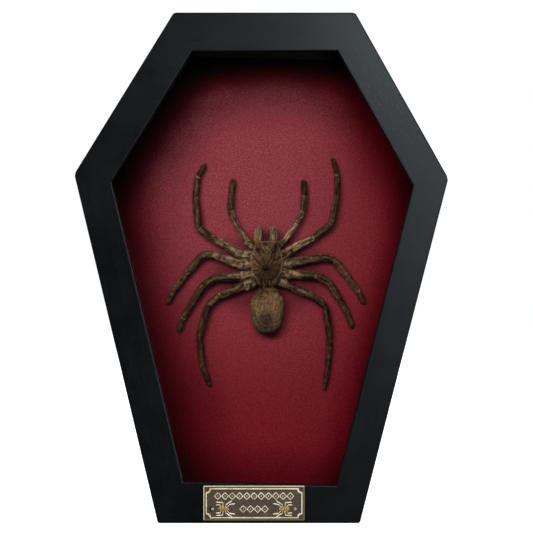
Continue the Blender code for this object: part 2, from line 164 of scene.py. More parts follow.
class Shading:
    """The node tree of one material or world."""

    def __init__(self, owner: bpy.types.ID) -> None:
        """Start an empty node tree.

        Args:
            owner: the material or world whose nodes these are.
        """
        owner.use_nodes = True
        self.tree = owner.node_tree
        self.tree.nodes.clear()

    def node(
        self, kind: str, settings: dict[str, object] | None = None, inputs: dict | None = None
    ) -> bpy.types.Node:
        """Add a node.

        Args:
            kind: the node's type.
            settings: its properties, set before its sockets.
            inputs: socket name or number to a value, a socket or a Field.

        Returns:
            The new node.
        """
        made = self.tree.nodes.new(kind)
        for name, value in (settings or {}).items():
            setattr(made, name, value)
        for key, value in (inputs or {}).items():
            socket = made.inputs[key]
            if isinstance(value, Field):
                value = value.socket
            if isinstance(value, Socket):
                self.tree.links.new(value, socket)
            else:
                socket.default_value = value
        return made

    def field(
        self,
        kind: str,
        settings: dict[str, object] | None = None,
        inputs: dict | None = None,
        output: int | str = 0,
    ) -> Field:
        """Add a node and return one of its outputs as a Field."""
        return Field(self, self.node(kind, settings, inputs).outputs[output])

    def place(self) -> Socket:
        """Object coordinates, in metres."""
        return self.node("ShaderNodeTexCoord").outputs["Object"]

    def axes(self) -> tuple[Field, Field, Field]:
        """The three object coordinates, in metres."""
        parts = self.node("ShaderNodeSeparateXYZ", None, {0: self.place()}).outputs
        return Field(self, parts[0]), Field(self, parts[1]), Field(self, parts[2])

    def turned(self, angle: float, size: Triple) -> Socket:
        """Object coordinates turned by angle about Y and counted in steps of size."""
        inputs = {"Vector": self.place(), "Rotation": (0.0, angle, 0.0), "Scale": size}
        return self.node("ShaderNodeMapping", {"vector_type": "TEXTURE"}, inputs).outputs[0]

    def pigment(self) -> Socket:
        """The colour that each vertex of a spider's piece carries."""
        return self.node("ShaderNodeAttribute", {"attribute_name": "pigment"}).outputs["Color"]

    def noise(self, vector: Socket, scale: float, detail: float = 2.0, roughness: float = 0.5) -> Field:
        """Soft noise from 0 to 1, with about scale humps in a metre."""
        inputs = {"Vector": vector, "Scale": scale, "Detail": detail, "Roughness": roughness}
        return self.field("ShaderNodeTexNoise", None, inputs)

    def cells(self, vector: Socket, scale: float) -> Field:
        """Distance to the nearest cell's middle, with about scale cells in a metre."""
        return self.field("ShaderNodeTexVoronoi", None, {"Vector": vector, "Scale": scale})

    def depth_inside(self, sides: Sequence[Side]) -> Field:
        """Distance to the nearest of some upright sides, in metres.

        Args:
            sides: each side's outward normal, and how far along it the side lies.

        Returns:
            The distance, positive inside.
        """
        place = self.place()
        found = None
        for normal, reach in sides:
            inputs = {0: place, 1: tuple(normal)}
            along = self.field("ShaderNodeVectorMath", {"operation": "DOT_PRODUCT"}, inputs, "Value")
            found = reach - along if found is None else found.smaller(reach - along)
        return found

    def away_from(self, point: Triple) -> Field:
        """Distance to a point, in metres."""
        inputs = {0: self.place(), 1: point}
        return self.field("ShaderNodeVectorMath", {"operation": "DISTANCE"}, inputs, "Value")

    def mix(self, share: "Field | float", first: "Colour | Socket", second: "Colour | Socket") -> Socket:
        """A colour between first and second."""
        first, second = ((*c, 1.0) if isinstance(c, tuple) else c for c in (first, second))
        return self.node("ShaderNodeMix", {"data_type": "RGBA"}, {0: share, 6: first, 7: second}).outputs[2]

    def scaled(self, colour: Socket, amount: Field) -> Socket:
        """A colour made lighter or darker by amount."""
        inputs = {0: colour, "Scale": amount}
        return self.node("ShaderNodeVectorMath", {"operation": "SCALE"}, inputs).outputs[0]

    def bump(self, height: Field, distance: float, strength: float = 1.0) -> Socket:
        """A normal from a height; distance is the height of 1, in metres."""
        inputs = {"Height": height, "Distance": distance, "Strength": strength}
        return self.node("ShaderNodeBump", None, inputs).outputs[0]

    def principled(self, inputs: dict) -> Socket:
        """A Principled BSDF with these sockets."""
        inputs = {k: (*v, 1.0) if isinstance(v, tuple) and len(v) == 3 else v for k, v in inputs.items()}
        return self.node("ShaderNodeBsdfPrincipled", None, inputs).outputs[0]

    def finish(self, shader: Socket, output: str = "ShaderNodeOutputMaterial") -> None:
        """Send a shader to the output."""
        self.node(output, None, {"Surface": shader})


# ------------------------------------------------------------------- finishes


class Finish:
    """A procedural finish; each sort mixes its shader in its own way."""

    def material(self, name: str) -> bpy.types.Material:
        """Make the finish's material.

        Args:
            name: the material's name.

        Returns:
            The material.
        """
        material = bpy.data.materials.new(name)
        s = Shading(material)
        s.finish(self.shader(s))
        return material

    def shader(self, s: Shading) -> Socket:
        """Mix the shader in a material's node tree."""
        raise NotImplementedError


@dataclass(frozen=True)
class SatinPaint(Finish):
    """Black satin paint with a faint orange peel, brushed out along a rail turned by angle about Y."""

    angle: float
    colour: Colour = (0.0021, 0.0022, 0.0026)
    paler: Colour = (0.0046, 0.0049, 0.0062)
    dusted: Colour = (0.03, 0.032, 0.035)
    streak_size: Triple = (46 * MM, 1.4 * MM, 1.4 * MM)
    clouds: float = 34.0
    patches: float = 120.0
    peel: float = 1300.0
    dust: float = 2200.0
    roughness: float = 0.31
    relief: float = 0.05 * MM

    def shader(self, s: Shading) -> Socket:
        """Mix the paint.

        Args:
            s: the material's node tree.

        Returns:
            The shader.
        """
        place = s.place()
        streak = s.noise(s.turned(self.angle, self.streak_size), 1.0, 4.0, 0.65)
        cloud = s.noise(place, self.clouds, 3.0)
        patch = s.noise(place, self.patches, 3.0, 0.6)
        peel = s.noise(place, self.peel, 2.0)
        dust = s.noise(place, self.dust, 1.0).smooth(0.68, 0.78)
        shade = (streak * 0.3 + cloud * 0.5 + patch * 0.2).smooth(0.34, 0.68)
        rough = self.roughness + (streak - 0.5) * 0.09 + (cloud + patch - 1) * 0.04
        return s.principled(
            {
                "Base Color": s.mix(dust * 0.3, s.mix(shade, self.colour, self.paler), self.dusted),
                "Roughness": rough + (peel - 0.5) * 0.14,
                "Specular IOR Level": 0.5,
                "Normal": s.bump(streak * 0.45 + peel * 0.55, self.relief, 0.7),
            }
        )


@dataclass(frozen=True)
class Margin:
    """The painted shade of the covering along one side: where it starts and ends, and its tone at the wall.
    """

    start: float
    end: float
    tone: float


@dataclass(frozen=True)
class PaintedLightPool:
    """A soft oval on the covering: painted shade, darker by depth, or painted light where depth is below 0.
    """

    x: float
    z: float
    half_x: float
    half_z: float
    depth: float

    def tone(self, x: Field, z: Field) -> Field:
        """Darken or lighten the covering in the pool, as painted shade or painted light.

        Args:
            x: the place across.
            z: the place upwards.

        Returns:
            How light the covering is there, 1 outside the pool.
        """
        across = (x - self.x) * (1 / self.half_x)
        along = (z - self.z) * (1 / self.half_z)
        return 1 - (1 - across * across - along * along).smooth(0.0, 0.85) * self.depth


@dataclass(frozen=True)
class Leatherette(Finish):
    """Crimson leatherette, finely pebbled, with painted shade along the walls and painted light at the head
    end.

    Its sides are those of the pane in front, which runs under the lip by hidden. The first oval is the
    painted shadow of the spider's body round it; the others are painted shade and painted light. The paler
    head end and the pale specks on its grain are painted light, a painted sheen and painted highlights.
    """

    sides: Sequence[Side]
    colour: Colour = (0.160, 0.0055, 0.0128)
    crease: Colour = (0.140, 0.0040, 0.0100)
    # painted light and a painted sheen: the paler colour of the head end and the upper left
    paler: Colour = (0.174, 0.0225, 0.0330)
    # painted highlights: the pale specks on the grain
    painted_glint: Colour = (0.34, 0.150, 0.165)
    # painted shade: the deep red right by the walls
    wall_shade_colour: Colour = (0.160, 0.0025, 0.0090)
    pebble: float = 1.3 * MM
    relief: float = 0.12 * MM
    roughness: float = 0.42
    hidden: float = 5.7 * MM
    # painted shade along each wall
    top_margin: Margin = Margin(3 * MM, 53 * MM, 0.04)
    left_shoulder: Margin = Margin(-2 * MM, 51 * MM, 0.12)
    right_shoulder: Margin = Margin(-2 * MM, 36 * MM, 0.21)
    left_margin: Margin = Margin(-2 * MM, 48 * MM, 0.32)
    right_margin: Margin = Margin(-6.5 * MM, 18.5 * MM, 0.30)
    foot_margin: Margin = Margin(-3 * MM, 28 * MM, 0.46)
    # painted shade towards the right side and towards the foot
    right_tone: float = 0.77
    foot_tone: float = 0.80
    # painted shadow of the spider's body, then ovals of painted shade and painted light
    painted_pools: tuple[PaintedLightPool, ...] = (
        PaintedLightPool(4 * MM, 146 * MM, 45 * MM, 31 * MM, 0.58),
        PaintedLightPool(-38 * MM, 60 * MM, 22 * MM, 40 * MM, 0.14),
        PaintedLightPool(-56 * MM, 229 * MM, 24 * MM, 22 * MM, 0.16),
        PaintedLightPool(-70 * MM, 195 * MM, 20 * MM, 34 * MM, -0.22),
        PaintedLightPool(54 * MM, 50 * MM, 9 * MM, 48 * MM, -0.2),
        PaintedLightPool(52 * MM, 256 * MM, 22 * MM, 14 * MM, -0.4),
        PaintedLightPool(-36 * MM, 257 * MM, 24 * MM, 12 * MM, -0.4),
    )

    def _margin(self, normal: Vector) -> Margin:
        """Choose the margin along a side.

        Args:
            normal: the side's outward normal.

        Returns:
            Its margin.
        """
        if abs(normal.z) > 0.9:
            return self.top_margin if normal.z > 0 else self.foot_margin
        if normal.z > 0:
            return self.left_shoulder if normal.x < 0 else self.right_shoulder
        return self.left_margin if normal.x < 0 else self.right_margin

    def _painted_wall_shade(self, s: Shading, x: Field, z: Field) -> Field:
        """Paint shade on the covering towards each wall, the right and the foot.

        Args:
            s: the material's node tree.
            x: the place across.
            z: the place upwards.

        Returns:
            How light the covering is there, 1 at the most.
        """
        tone = 1 - x.smooth(0.0, 85 * MM) * (1 - self.right_tone)
        tone = tone * (z.smooth(60 * MM, 140 * MM) * (1 - self.foot_tone) + self.foot_tone)
        for side in self.sides:
            margin = self._margin(side[0])
            inside = (s.depth_inside([side]) - self.hidden).smooth(margin.start, margin.end)
            tone = tone * (inside * (1 - margin.tone) + margin.tone)
        return tone

    def shader(self, s: Shading) -> Socket:
        """Mix the covering.

        Args:
            s: the material's node tree.

        Returns:
            The shader.
        """
        place = s.place()
        x, _, z = s.axes()
        wander = s.noise(place, 420.0, 2.0)
        pebbles = s.cells(place, 1.0 / self.pebble)
        grain = s.cells(place, 2.3 / self.pebble)
        height = 1 - pebbles * 0.7 - grain * 0.4 + wander * 0.3
        dots = s.noise(place, 1500.0, 1.0).smooth(0.36, 0.66)
        # painted shade along the walls; edge is how deep in it a point lies
        tone = self._painted_wall_shade(s, x, z)
        edge = 1 - tone.smooth(0.1, 0.8)
        # painted shadow of the spider and ovals of painted shade and painted light
        for pool in self.painted_pools:
            tone = tone * pool.tone(x, z)
        # painted light and a painted sheen towards the head end and the left
        paleness = z.smooth(30 * MM, 190 * MM) * (1 - x.smooth(10 * MM, 85 * MM) * 0.85)
        # painted highlights on the grain, at the edge of the wall shade near the head and in the painted
        # sheen
        painted_haze = z.smooth(150 * MM, 225 * MM) * (1 - x.smooth(20 * MM, 75 * MM)) * tone.smooth(0.06, 0.36)
        painted_sparkle = edge * painted_haze * 0.16 + (1 - edge) * (paleness * 0.085 + 0.025) + 0.01
        colour = s.mix(height.smooth(0.3, 0.85), self.crease, self.colour)
        colour = s.mix(paleness, colour, self.paler)
        # painted shade: deep red by the walls
        colour = s.mix(edge * (1 - painted_haze) * 0.85, colour, self.wall_shade_colour)
        colour = s.mix(dots * painted_sparkle, colour, self.painted_glint)
        # tone carries the painted shade and painted light into the colour
        return s.principled(
            {
                "Base Color": s.scaled(colour, tone * (dots * (edge * 0.33 + 0.18) + 0.90 - edge * 0.05)),
                "Roughness": self.roughness + edge * 0.3 + (wander - 0.5) * 0.2,
                "Specular IOR Level": 0.05,
                "Normal": s.bump(height, self.relief, 0.6),
            }
        )


@dataclass(frozen=True)
class ClearGlass(Finish):
    """Thin clear glass that lets lamp light straight through."""

    tint: Colour = (0.985, 0.995, 0.99)
    ior: float = 1.45

    def shader(self, s: Shading) -> Socket:
        """Mix the glass.

        Args:
            s: the material's node tree.

        Returns:
            The shader.
        """
        path = s.node("ShaderNodeLightPath").outputs
        lamps, matt, glossy = (Field(s, path[f"Is {ray} Ray"]) for ray in ("Shadow", "Diffuse", "Glossy"))
        glass = {"Base Color": self.tint, "Roughness": 0.0, "IOR": self.ior, "Transmission Weight": 1.0}
        clear = s.node("ShaderNodeBsdfTransparent").outputs[0]
        inputs = {0: lamps.larger(matt.larger(glossy)), 1: s.principled(glass), 2: clear}
        return s.node("ShaderNodeMixShader", None, inputs).outputs[0]


@dataclass(frozen=True)
class PressedBoard(Finish):
    """Brown pressed-fibre board, black on its front, which is at front_y, as painted shade for the recess."""

    front_y: float
    colour: Colour = (0.19, 0.105, 0.052)
    dark: Colour = (0.095, 0.048, 0.022)
    pale: Colour = (0.30, 0.19, 0.10)
    # painted shade: the black of the front
    black: Colour = (0.004, 0.004, 0.004)
    lie: float = 0.35
    fibre_size: Triple = (5 * MM, MM, 0.7 * MM)
    blackening: Pair = (0.5 * MM, 0.2 * MM)
    relief: float = 0.12 * MM

    def shader(self, s: Shading) -> Socket:
        """Mix the board.

        Args:
            s: the material's node tree.

        Returns:
            The shader.
        """
        place = s.place()
        fibre = s.noise(s.turned(self.lie, self.fibre_size), 1.0, 4.0, 0.7)
        speck = s.noise(place, 1500.0, 2.0)
        cloud = s.noise(place, 18.0, 3.0)
        # painted shade: the front, which faces the recess, is made black
        shaded_front = s.axes()[1].smooth(*(self.front_y + depth for depth in self.blackening))
        colour = s.mix((fibre * 0.6 + cloud * 0.4).smooth(0.32, 0.68), self.dark, self.colour)
        colour = s.mix(speck.smooth(0.6, 0.75) * 0.4, colour, self.pale)
        return s.principled(
            {
                "Base Color": s.mix(shaded_front, colour, self.black),
                "Roughness": 0.62 + (fibre - 0.5) * 0.3,
                "Normal": s.bump(fibre * 0.6 + speck * 0.4, self.relief, 0.6),
            }
        )


@dataclass(frozen=True)
class ZincSteel(Finish):
    """Zinc-plated steel, dull and lightly scratched."""

    dull: Colour = (0.40, 0.41, 0.43)
    bright: Colour = (0.62, 0.63, 0.64)
    lie: float = 0.2
    scratch_size: Triple = (12 * MM, MM, 0.12 * MM)
    relief: float = 0.02 * MM

    def shader(self, s: Shading) -> Socket:
        """Mix the steel.

        Args:
            s: the material's node tree.

        Returns:
            The shader.
        """
        paleness = s.noise(s.place(), 240.0, 4.0, 0.6)
        scratch = s.noise(s.turned(self.lie, self.scratch_size), 1.0, 2.0)
        return s.principled(
            {
                "Base Color": s.mix(paleness.smooth(0.35, 0.65), self.dull, self.bright),
                "Metallic": 1.0,
                "Roughness": 0.28 + paleness * 0.25,
                "Normal": s.bump(scratch + paleness * 0.5, self.relief, 0.5),
            }
        )


@dataclass(frozen=True)
class AntiqueBrass(Finish):
    """Brass darkened in its ground, brassier round its edge and worn bright where it stands up from face_y.

    Its left and top edges carry a painted highlight. The ground is blackest, as painted shadow, beside the
    border and round the pins.
    """

    face_y: float
    relief: float
    sides: Sequence[Side]
    pins: Sequence[Triple]
    ground: Colour = (0.082, 0.060, 0.043)
    stained: Colour = (0.17, 0.135, 0.09)
    edge: Colour = (0.160, 0.140, 0.086)
    # worn bright on the raised parts, and a painted highlight along the left and top edges
    rubbed_and_highlight: Colour = (0.92, 0.85, 0.64)
    worn: Colour = (0.68, 0.58, 0.36)
    # painted shadow: the dark lines beside the raised border
    line: Colour = (0.030, 0.021, 0.013)
    # painted shadow round the pins
    pin_shadow_colour: Colour = (0.012, 0.009, 0.007)
    edge_width: float = 0.95 * MM
    lit_width: float = 0.5 * MM
    border: Pair = (1.3 * MM, 2.05 * MM)
    shadow: float = 0.4 * MM
    pin_ring: Pair = (1.9 * MM, 1.3 * MM)

    def _ground(self, s: Shading, speckle: Field, stain: Field) -> Socket:
        """The colour of the flat ground, from the plate's edge inwards.

        Args:
            s: the material's node tree.
            speckle: fine noise.
            stain: broad noise.

        Returns:
            The colour.
        """
        dark, light = (tuple(c * share for c in self.ground) for share in (0.55, 1.3))
        ground = s.mix(speckle.smooth(0.40, 0.62), dark, light)
        ground = s.mix(stain.smooth(0.5, 0.75) * 0.35, ground, self.stained)
        inset = s.depth_inside(self.sides)
        # painted shadow: dark lines on either side of the raised border
        for low, high in ((self.edge_width, self.border[0]), (self.border[1], self.border[1] + self.shadow)):
            line = inset.smooth(low - 0.1 * MM, low + 0.1 * MM)
            line = line * inset.smooth(high + 0.15 * MM, high - 0.05 * MM)
            ground = s.mix(line * 0.8, ground, self.line)
        brassy = 1 - inset.smooth(self.edge_width * 0.75, self.edge_width)
        ground = s.mix(brassy * (speckle * 0.5 + 0.6), ground, self.edge)
        # painted highlight along the left and top edges
        lit = [side for side in self.sides if side[0].x < -0.5 or side[0].z > 0.5]
        rim = s.depth_inside(lit).smooth(self.lit_width, self.lit_width * 0.5)
        return s.mix(rim * 0.7, ground, self.rubbed_and_highlight)

    def shader(self, s: Shading) -> Socket:
        """Mix the brass.

        Args:
            s: the material's node tree.

        Returns:
            The shader.
        """
        place = s.place()
        speckle = s.noise(place, 3000.0, 2.0, 0.7)
        stain = s.noise(place, 190.0, 3.0)
        height = (self.face_y - s.axes()[1]) * (1 / self.relief)
        proud = (height + (stain - 0.5) * 0.2).smooth(0.2, 0.7)
        worn = s.mix(stain.smooth(0.3, 0.6), self.worn, self.rubbed_and_highlight)
        colour = s.mix(proud, self._ground(s, speckle, stain), worn)
        # painted shadow round the pins
        for pin in self.pins:
            colour = s.mix(s.away_from(pin).smooth(*self.pin_ring), colour, self.pin_shadow_colour)
        return s.principled(
            {
                "Base Color": colour,
                "Metallic": 0.12 + proud * 0.2,
                "Roughness": 0.52 - proud * 0.18 + (speckle - 0.5) * 0.15,
                "Normal": s.bump(speckle * (1 - proud) + stain * 0.3, 0.06 * MM, 0.7),
            }
        )


@dataclass(frozen=True)
class GiltBrass(Finish):
    """Speckled gilt on the bodies of the small raised spiders, and the duller brass of the pins."""

    light: Colour = (0.58, 0.40, 0.13)
    dark: Colour = (0.12, 0.075, 0.025)
    metallic: float = 0.3
    relief: float = 0.05 * MM

    def shader(self, s: Shading) -> Socket:
        """Mix the gilt.

        Args:
            s: the material's node tree.

        Returns:
            The shader.
        """
        speckle = s.noise(s.place(), 2100.0, 2.0)
        return s.principled(
            {
                "Base Color": s.mix(speckle.smooth(0.4, 0.6), self.dark, self.light),
                "Metallic": self.metallic,
                "Roughness": 0.3,
                "Normal": s.bump(speckle, self.relief, 0.8),
            }
        )


@dataclass(frozen=True)
class DrySkin(Finish):
    """Dry spider skin, whose pigment is worked out point by point."""

    relief: float = 0.16 * MM

    def shader(self, s: Shading) -> Socket:
        """Mix the skin.

        Args:
            s: the material's node tree.

        Returns:
            The shader.
        """
        place = s.place()
        mottle = s.noise(place, 900.0, 3.0, 0.6)
        pore = s.noise(place, 3200.0, 2.0)
        return s.principled(
            {
                "Base Color": s.scaled(s.pigment(), (mottle - 0.5) * 1.4 + (pore - 0.5) * 0.95 + 1.0),
                "Roughness": 0.62 + (mottle - 0.5) * 0.3,
                "Specular IOR Level": 0.12,
                "Normal": s.bump(mottle * 0.6 + pore * 0.4, self.relief, 0.8),
            }
        )


@dataclass(frozen=True)
class Bristle(Finish):
    """Fine dry hair in the pigment of the skin that it grows from."""

    def shader(self, s: Shading) -> Socket:
        """Mix the hair.

        Args:
            s: the material's node tree.

        Returns:
            The shader.
        """
        grain = s.noise(s.place(), 2500.0, 1.0)
        return s.principled(
            {
                "Base Color": s.scaled(s.pigment(), grain * 0.5 + 0.75),
                "Roughness": 0.6,
                "Specular IOR Level": 0.1,
            }
        )


@dataclass(frozen=True)
class DarkHorn(Finish):
    """Glossy black horn of eyes and fangs."""

    black: Colour = (0.006, 0.004, 0.003)
    brown: Colour = (0.022, 0.010, 0.006)

    def shader(self, s: Shading) -> Socket:
        """Mix the horn.

        Args:
            s: the material's node tree.

        Returns:
            The shader.
        """
        grain = s.noise(s.place(), 1400.0, 2.0)
        return s.principled(
            {
                "Base Color": s.mix(grain, self.black, self.brown),
                "Roughness": 0.16 + grain * 0.12,
                "Coat Weight": 0.4,
            }
        )


@dataclass(frozen=True)
class PaleFloor(Finish):
    """Matt white floor that glows, so that it looks as white as the surround."""

    glow: float = 0.93

    def shader(self, s: Shading) -> Socket:
        """Mix the floor.

        Args:
            s: the material's node tree.

        Returns:
            The shader.
        """
        return s.principled(
            {
                "Base Color": (0.7, 0.7, 0.7),
                "Roughness": 0.8,
                "Specular IOR Level": 0.1,
                "Emission Color": WHITE,
                "Emission Strength": self.glow,
            }
        )


# ---------------------------------------------------------------- shared making


def add_piece(
    name: str,
    mesh: bpy.types.Mesh,
    finishes: Sequence[bpy.types.Material],
    replaced: Iterable[str] = (),
) -> bpy.types.Object:
    """Put a finished mesh in the scene as a piece of the object.

    Args:
        name: the piece's name.
        mesh: its mesh, in place.
        finishes: its materials, in the order of the faces' numbers.
        replaced: the CAD nodes that it stands for.

    Returns:
        The new object.
    """
    mesh.name = name
    for finish in finishes:
        mesh.materials.append(finish)
    piece = bpy.data.objects.new(name, mesh)
    bpy.context.scene.collection.objects.link(piece)
    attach(piece, ROOT)
    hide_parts(*replaced)
    log.info("%s: %d vertices, %d faces", name, len(mesh.vertices), len(mesh.polygons))
    return piece


def mesh_of(
    shape: bmesh.types.BMesh, sharp_angle: float | None = None, smooth: bool = True
) -> bpy.types.Mesh:
    """Turn a bmesh into a mesh and free it.

    Args:
        shape: the bmesh.
        sharp_angle: edges that turn by more than this stay sharp.
        smooth: False leaves each face the shading that it has.

    Returns:
        The mesh.
    """
    mesh = bpy.data.meshes.new("made")
    shape.to_mesh(mesh)
    shape.free()
    if smooth:
        mesh.shade_smooth()
    if sharp_angle is not None:
        mesh.set_sharp_from_angle(angle=sharp_angle)
    return mesh


def dress(node: bpy.types.Object, finish: bpy.types.Material) -> None:
    """Give a carried-over CAD node its finish."""
    node.data.materials.clear()
    node.data.materials.append(finish)


def merged_solid(node: bpy.types.Object) -> bmesh.types.BMesh:
    """Copy a CAD node's loose triangles and join them into whole flat faces.

    Args:
        node: the CAD node.

    Returns:
        The copy.
    """
    shape = bmesh.new()
    shape.from_mesh(node.data)
    bmesh.ops.remove_doubles(shape, verts=shape.verts, dist=TOUCHING)
    bmesh.ops.dissolve_limit(shape, angle_limit=FLAT, verts=shape.verts, edges=shape.edges)
    return shape


def upright_sides(node: bpy.types.Object) -> list[Side]:
    """Find the sides of a flat CAD node that lies across Y.

    Args:
        node: the CAD node.

    Returns:
        Each side's outward normal, and how far along it the side lies.
    """
    shape = merged_solid(node)
    sides = [(f.normal.copy(), f.normal.dot(f.verts[0].co)) for f in shape.faces if abs(f.normal.y) < 0.1]
    shape.free()
    return sides


def bevel(shape: bmesh.types.BMesh, edges: Iterable[bmesh.types.BMEdge], width: float, segments: int) -> None:
    """Round some edges.

    Args:
        shape: the bmesh that they are in.
        edges: the edges.
        width: how far from the edge the rounding starts.
        segments: how many faces it has across.
    """
    bmesh.ops.bevel(
        shape,
        geom=list(edges),
        offset=width,
        segments=segments,
        profile=0.5,
        affect="EDGES",
        material=-1,
        clamp_overlap=True,
    )


def soft_step(value: float, low: float, high: float) -> float:
    """0 below low, 1 above high, with a soft step between them; low may be the larger."""
    share = min(max((value - low) / (high - low), 0.0), 1.0)
    return share * share * (3 - 2 * share)


def bell(value: float, middle: float, width: float) -> float:
    """A soft hump of height 1."""
    return math.exp(-(((value - middle) / width) ** 2))


def blend(share: float, first: Colour, second: Colour) -> Colour:
    """A colour between first and second."""
    share = min(max(share, 0.0), 1.0)
    return tuple(a + (b - a) * share for a, b in zip(first, second))


def darker(colour: Colour, amount: float) -> Colour:
    """A colour times amount."""
    return tuple(c * amount for c in colour)


# ------------------------------------------------------------------------ studio


CENTRE: Triple = (0.0, 0.0, 0.17)
COOL: Colour = (0.80, 0.93, 1.0)


class LampShows(Enum):
    """What a lamp is seen by."""

    ALL = "all"
    MATT = "matt surfaces"
    GLOSS = "glossy surfaces"


@dataclass(frozen=True)
class Softbox:
    """A square-cornered studio light, aimed at CENTRE."""

    name: str
    place: Triple
    size: Pair
    watts: float
    colour: Colour = WHITE
    shows: LampShows = LampShows.ALL

    def hang(self) -> None:
        """Put the light in the scene."""
        data = bpy.data.lights.new(self.name, "AREA")
        data.shape = "RECTANGLE"
        data.size, data.size_y = self.size
        data.energy = self.watts
        data.color = self.colour
        lamp = bpy.data.objects.new(self.name, data)
        lamp.location = self.place
        aim = Vector(CENTRE) - Vector(self.place)
        lamp.rotation_euler = aim.to_track_quat("-Z", "Y").to_euler()
        lamp.visible_camera = False
        lamp.visible_diffuse = self.shows is not LampShows.GLOSS
        lamp.visible_glossy = self.shows is not LampShows.MATT
        bpy.context.scene.collection.objects.link(lamp)


@dataclass
class Studio:
    """Camera, floor, soft light and a white surround."""

    camera_x: float = 3.07 * MM
    camera_z: float = 150.8 * MM
    distance: float = 950 * MM
    field_width: float = 312.9 * MM
    sensor: float = 36.0
    sight: float = 20.0
    face_y: float = -18.1 * MM
    floor_radius: float = 3.0
    floor_finish: PaleFloor = PaleFloor()
    surround: float = 1.0
    fill: float = 0.2
    boxes: tuple[Softbox, ...] = (
        Softbox("overhead", (-0.12, -1.22, 0.76), (0.8, 0.5), 13.2, (1.0, 0.985, 0.96), LampShows.MATT),
        Softbox("left", (-0.62, -1.08, 0.60), (0.5, 0.5), 12.4, (1.0, 0.98, 0.97), LampShows.MATT),
        Softbox("sheen", (0.25, -0.95, 0.485), (0.22, 0.24), 1.4, COOL, LampShows.GLOSS),
        Softbox("low_sheen", (0.36, -0.95, 0.15), (0.2, 0.24), 0.6, COOL, LampShows.GLOSS),
        Softbox("right_rim", (1.3, -0.25, 0.35), (0.6, 0.7), 3.0, COOL, LampShows.GLOSS),
        Softbox("left_rim", (-1.2, -0.45, 0.75), (0.6, 0.5), 0.2, COOL, LampShows.GLOSS),
        Softbox("back_left", (-0.7, 1.5, 0.9), (0.8, 0.8), 12.0, WHITE, LampShows.MATT),
        Softbox("back_right", (0.35, 1.6, 0.9), (0.6, 0.6), 8.0),
    )

    def build(self) -> None:
        """Set up the whole studio."""
        self._camera()
        self._floor()
        self._surround()
        for box in self.boxes:
            box.hang()
        bpy.context.scene.view_settings.view_transform = "Standard"

    def _camera(self) -> None:
        """The camera, square on to the face."""
        data = bpy.data.cameras.new("camera")
        data.sensor_width = self.sensor
        data.lens = self.sensor * self.distance / self.field_width
        data.clip_end = self.sight
        camera = bpy.data.objects.new("camera", data)
        camera.location = (self.camera_x, self.face_y - self.distance, self.camera_z)
        camera.rotation_euler = (math.pi / 2, 0.0, 0.0)
        bpy.context.scene.collection.objects.link(camera)
        bpy.context.scene.camera = camera

    def _floor(self) -> None:
        """A plain pale floor that doesn't show in the glass."""
        shape = bmesh.new()
        bmesh.ops.create_circle(shape, cap_ends=True, segments=96, radius=self.floor_radius)
        floor = bpy.data.objects.new("floor", mesh_of(shape))
        floor.data.materials.append(self.floor_finish.material("pale_floor"))
        floor.visible_glossy = False
        floor.visible_diffuse = False
        bpy.context.scene.collection.objects.link(floor)
        floor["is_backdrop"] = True

    def _surround(self) -> None:
        """White behind everything, with a dim fill light."""
        world = bpy.data.worlds.new("surround")
        bpy.context.scene.world = world
        s = Shading(world)
        seen = Field(s, s.node("ShaderNodeLightPath").outputs["Is Camera Ray"])
        strength = seen * (self.surround - self.fill) + self.fill
        glow = s.node("ShaderNodeBackground", None, {"Color": (*WHITE, 1.0), "Strength": strength})
        s.finish(glow.outputs[0], "ShaderNodeOutputWorld")
        world.cycles_visibility.glossy = False


# ------------------------------------------------------------------- the frame


@dataclass
class PaintedFrame:
    """The six painted rails, filled and painted over at their mitres."""

    nodes: dict[str, bpy.types.Object]
    rails: tuple[str, ...] = (
        "top_rail",
        "right_shoulder_rail",
        "right_side_rail",
        "bottom_rail",
        "left_side_rail",
        "left_shoulder_rail",
    )
    joint_gap: float = 0.3 * MM
    blunting: float = 0.6 * MM
    mitre_area: float = 100 * MM * MM

    def build(self) -> None:
        """Dress each rail as a piece of its own."""
        for name in self.rails:
            shape, direction = self._closed_rail(self.nodes[name])
            paint = SatinPaint(math.atan2(-direction.z, direction.x)).material(f"black_paint_{name}")
            add_piece(f"{name}_painted", mesh_of(shape, smooth=False), [paint], [name])

    def _closed_rail(self, node: bpy.types.Object) -> tuple[bmesh.types.BMesh, Vector]:
        """Copy a rail and lengthen it until it meets its neighbours.

        Args:
            node: the rail's CAD node.

        Returns:
            The lengthened rail, and the direction that it runs in.
        """
        shape = merged_solid(node)
        longest = max(shape.edges, key=lambda edge: edge.calc_length())
        direction = (longest.verts[1].co - longest.verts[0].co).normalized()
        mitres = [f for f in shape.faces if abs(f.normal.y) < 0.1 and f.calc_area() > self.mitre_area]
        mitres = [f for f in mitres if abs(f.normal.dot(direction)) > 0.2]
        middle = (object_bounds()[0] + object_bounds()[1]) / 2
        corners: list[tuple[Vector, Vector]] = []
        for face in mitres:
            stretch = self.joint_gap / 2 / face.normal.dot(direction)
            bmesh.ops.translate(shape, verts=face.verts, vec=direction * stretch)
            outward = face.normal.cross(Vector((0, 1, 0))).normalized()
            if outward.dot(face.calc_center_median() - middle) < 0:
                outward.negate()
            corner = max(face.verts, key=lambda vert: vert.co.dot(outward))
            corners.append((corner.co - outward * self.blunting, outward))
        for place, outward in corners:
            cut = bmesh.ops.bisect_plane(
                shape,
                geom=[*shape.verts, *shape.edges, *shape.faces],
                plane_co=place,
                plane_no=outward,
                clear_outer=True,
            )["geom_cut"]
            bmesh.ops.holes_fill(shape, edges=[e for e in cut if isinstance(e, bmesh.types.BMEdge)])
        for face in shape.faces:
            face.smooth = 0.02 < abs(face.normal.y) < 0.98 and abs(face.normal.dot(direction)) < 0.2
        bmesh.ops.triangulate(shape, faces=shape.faces)
        return shape, direction


# ---------------------------------------------------------------- plate and nails


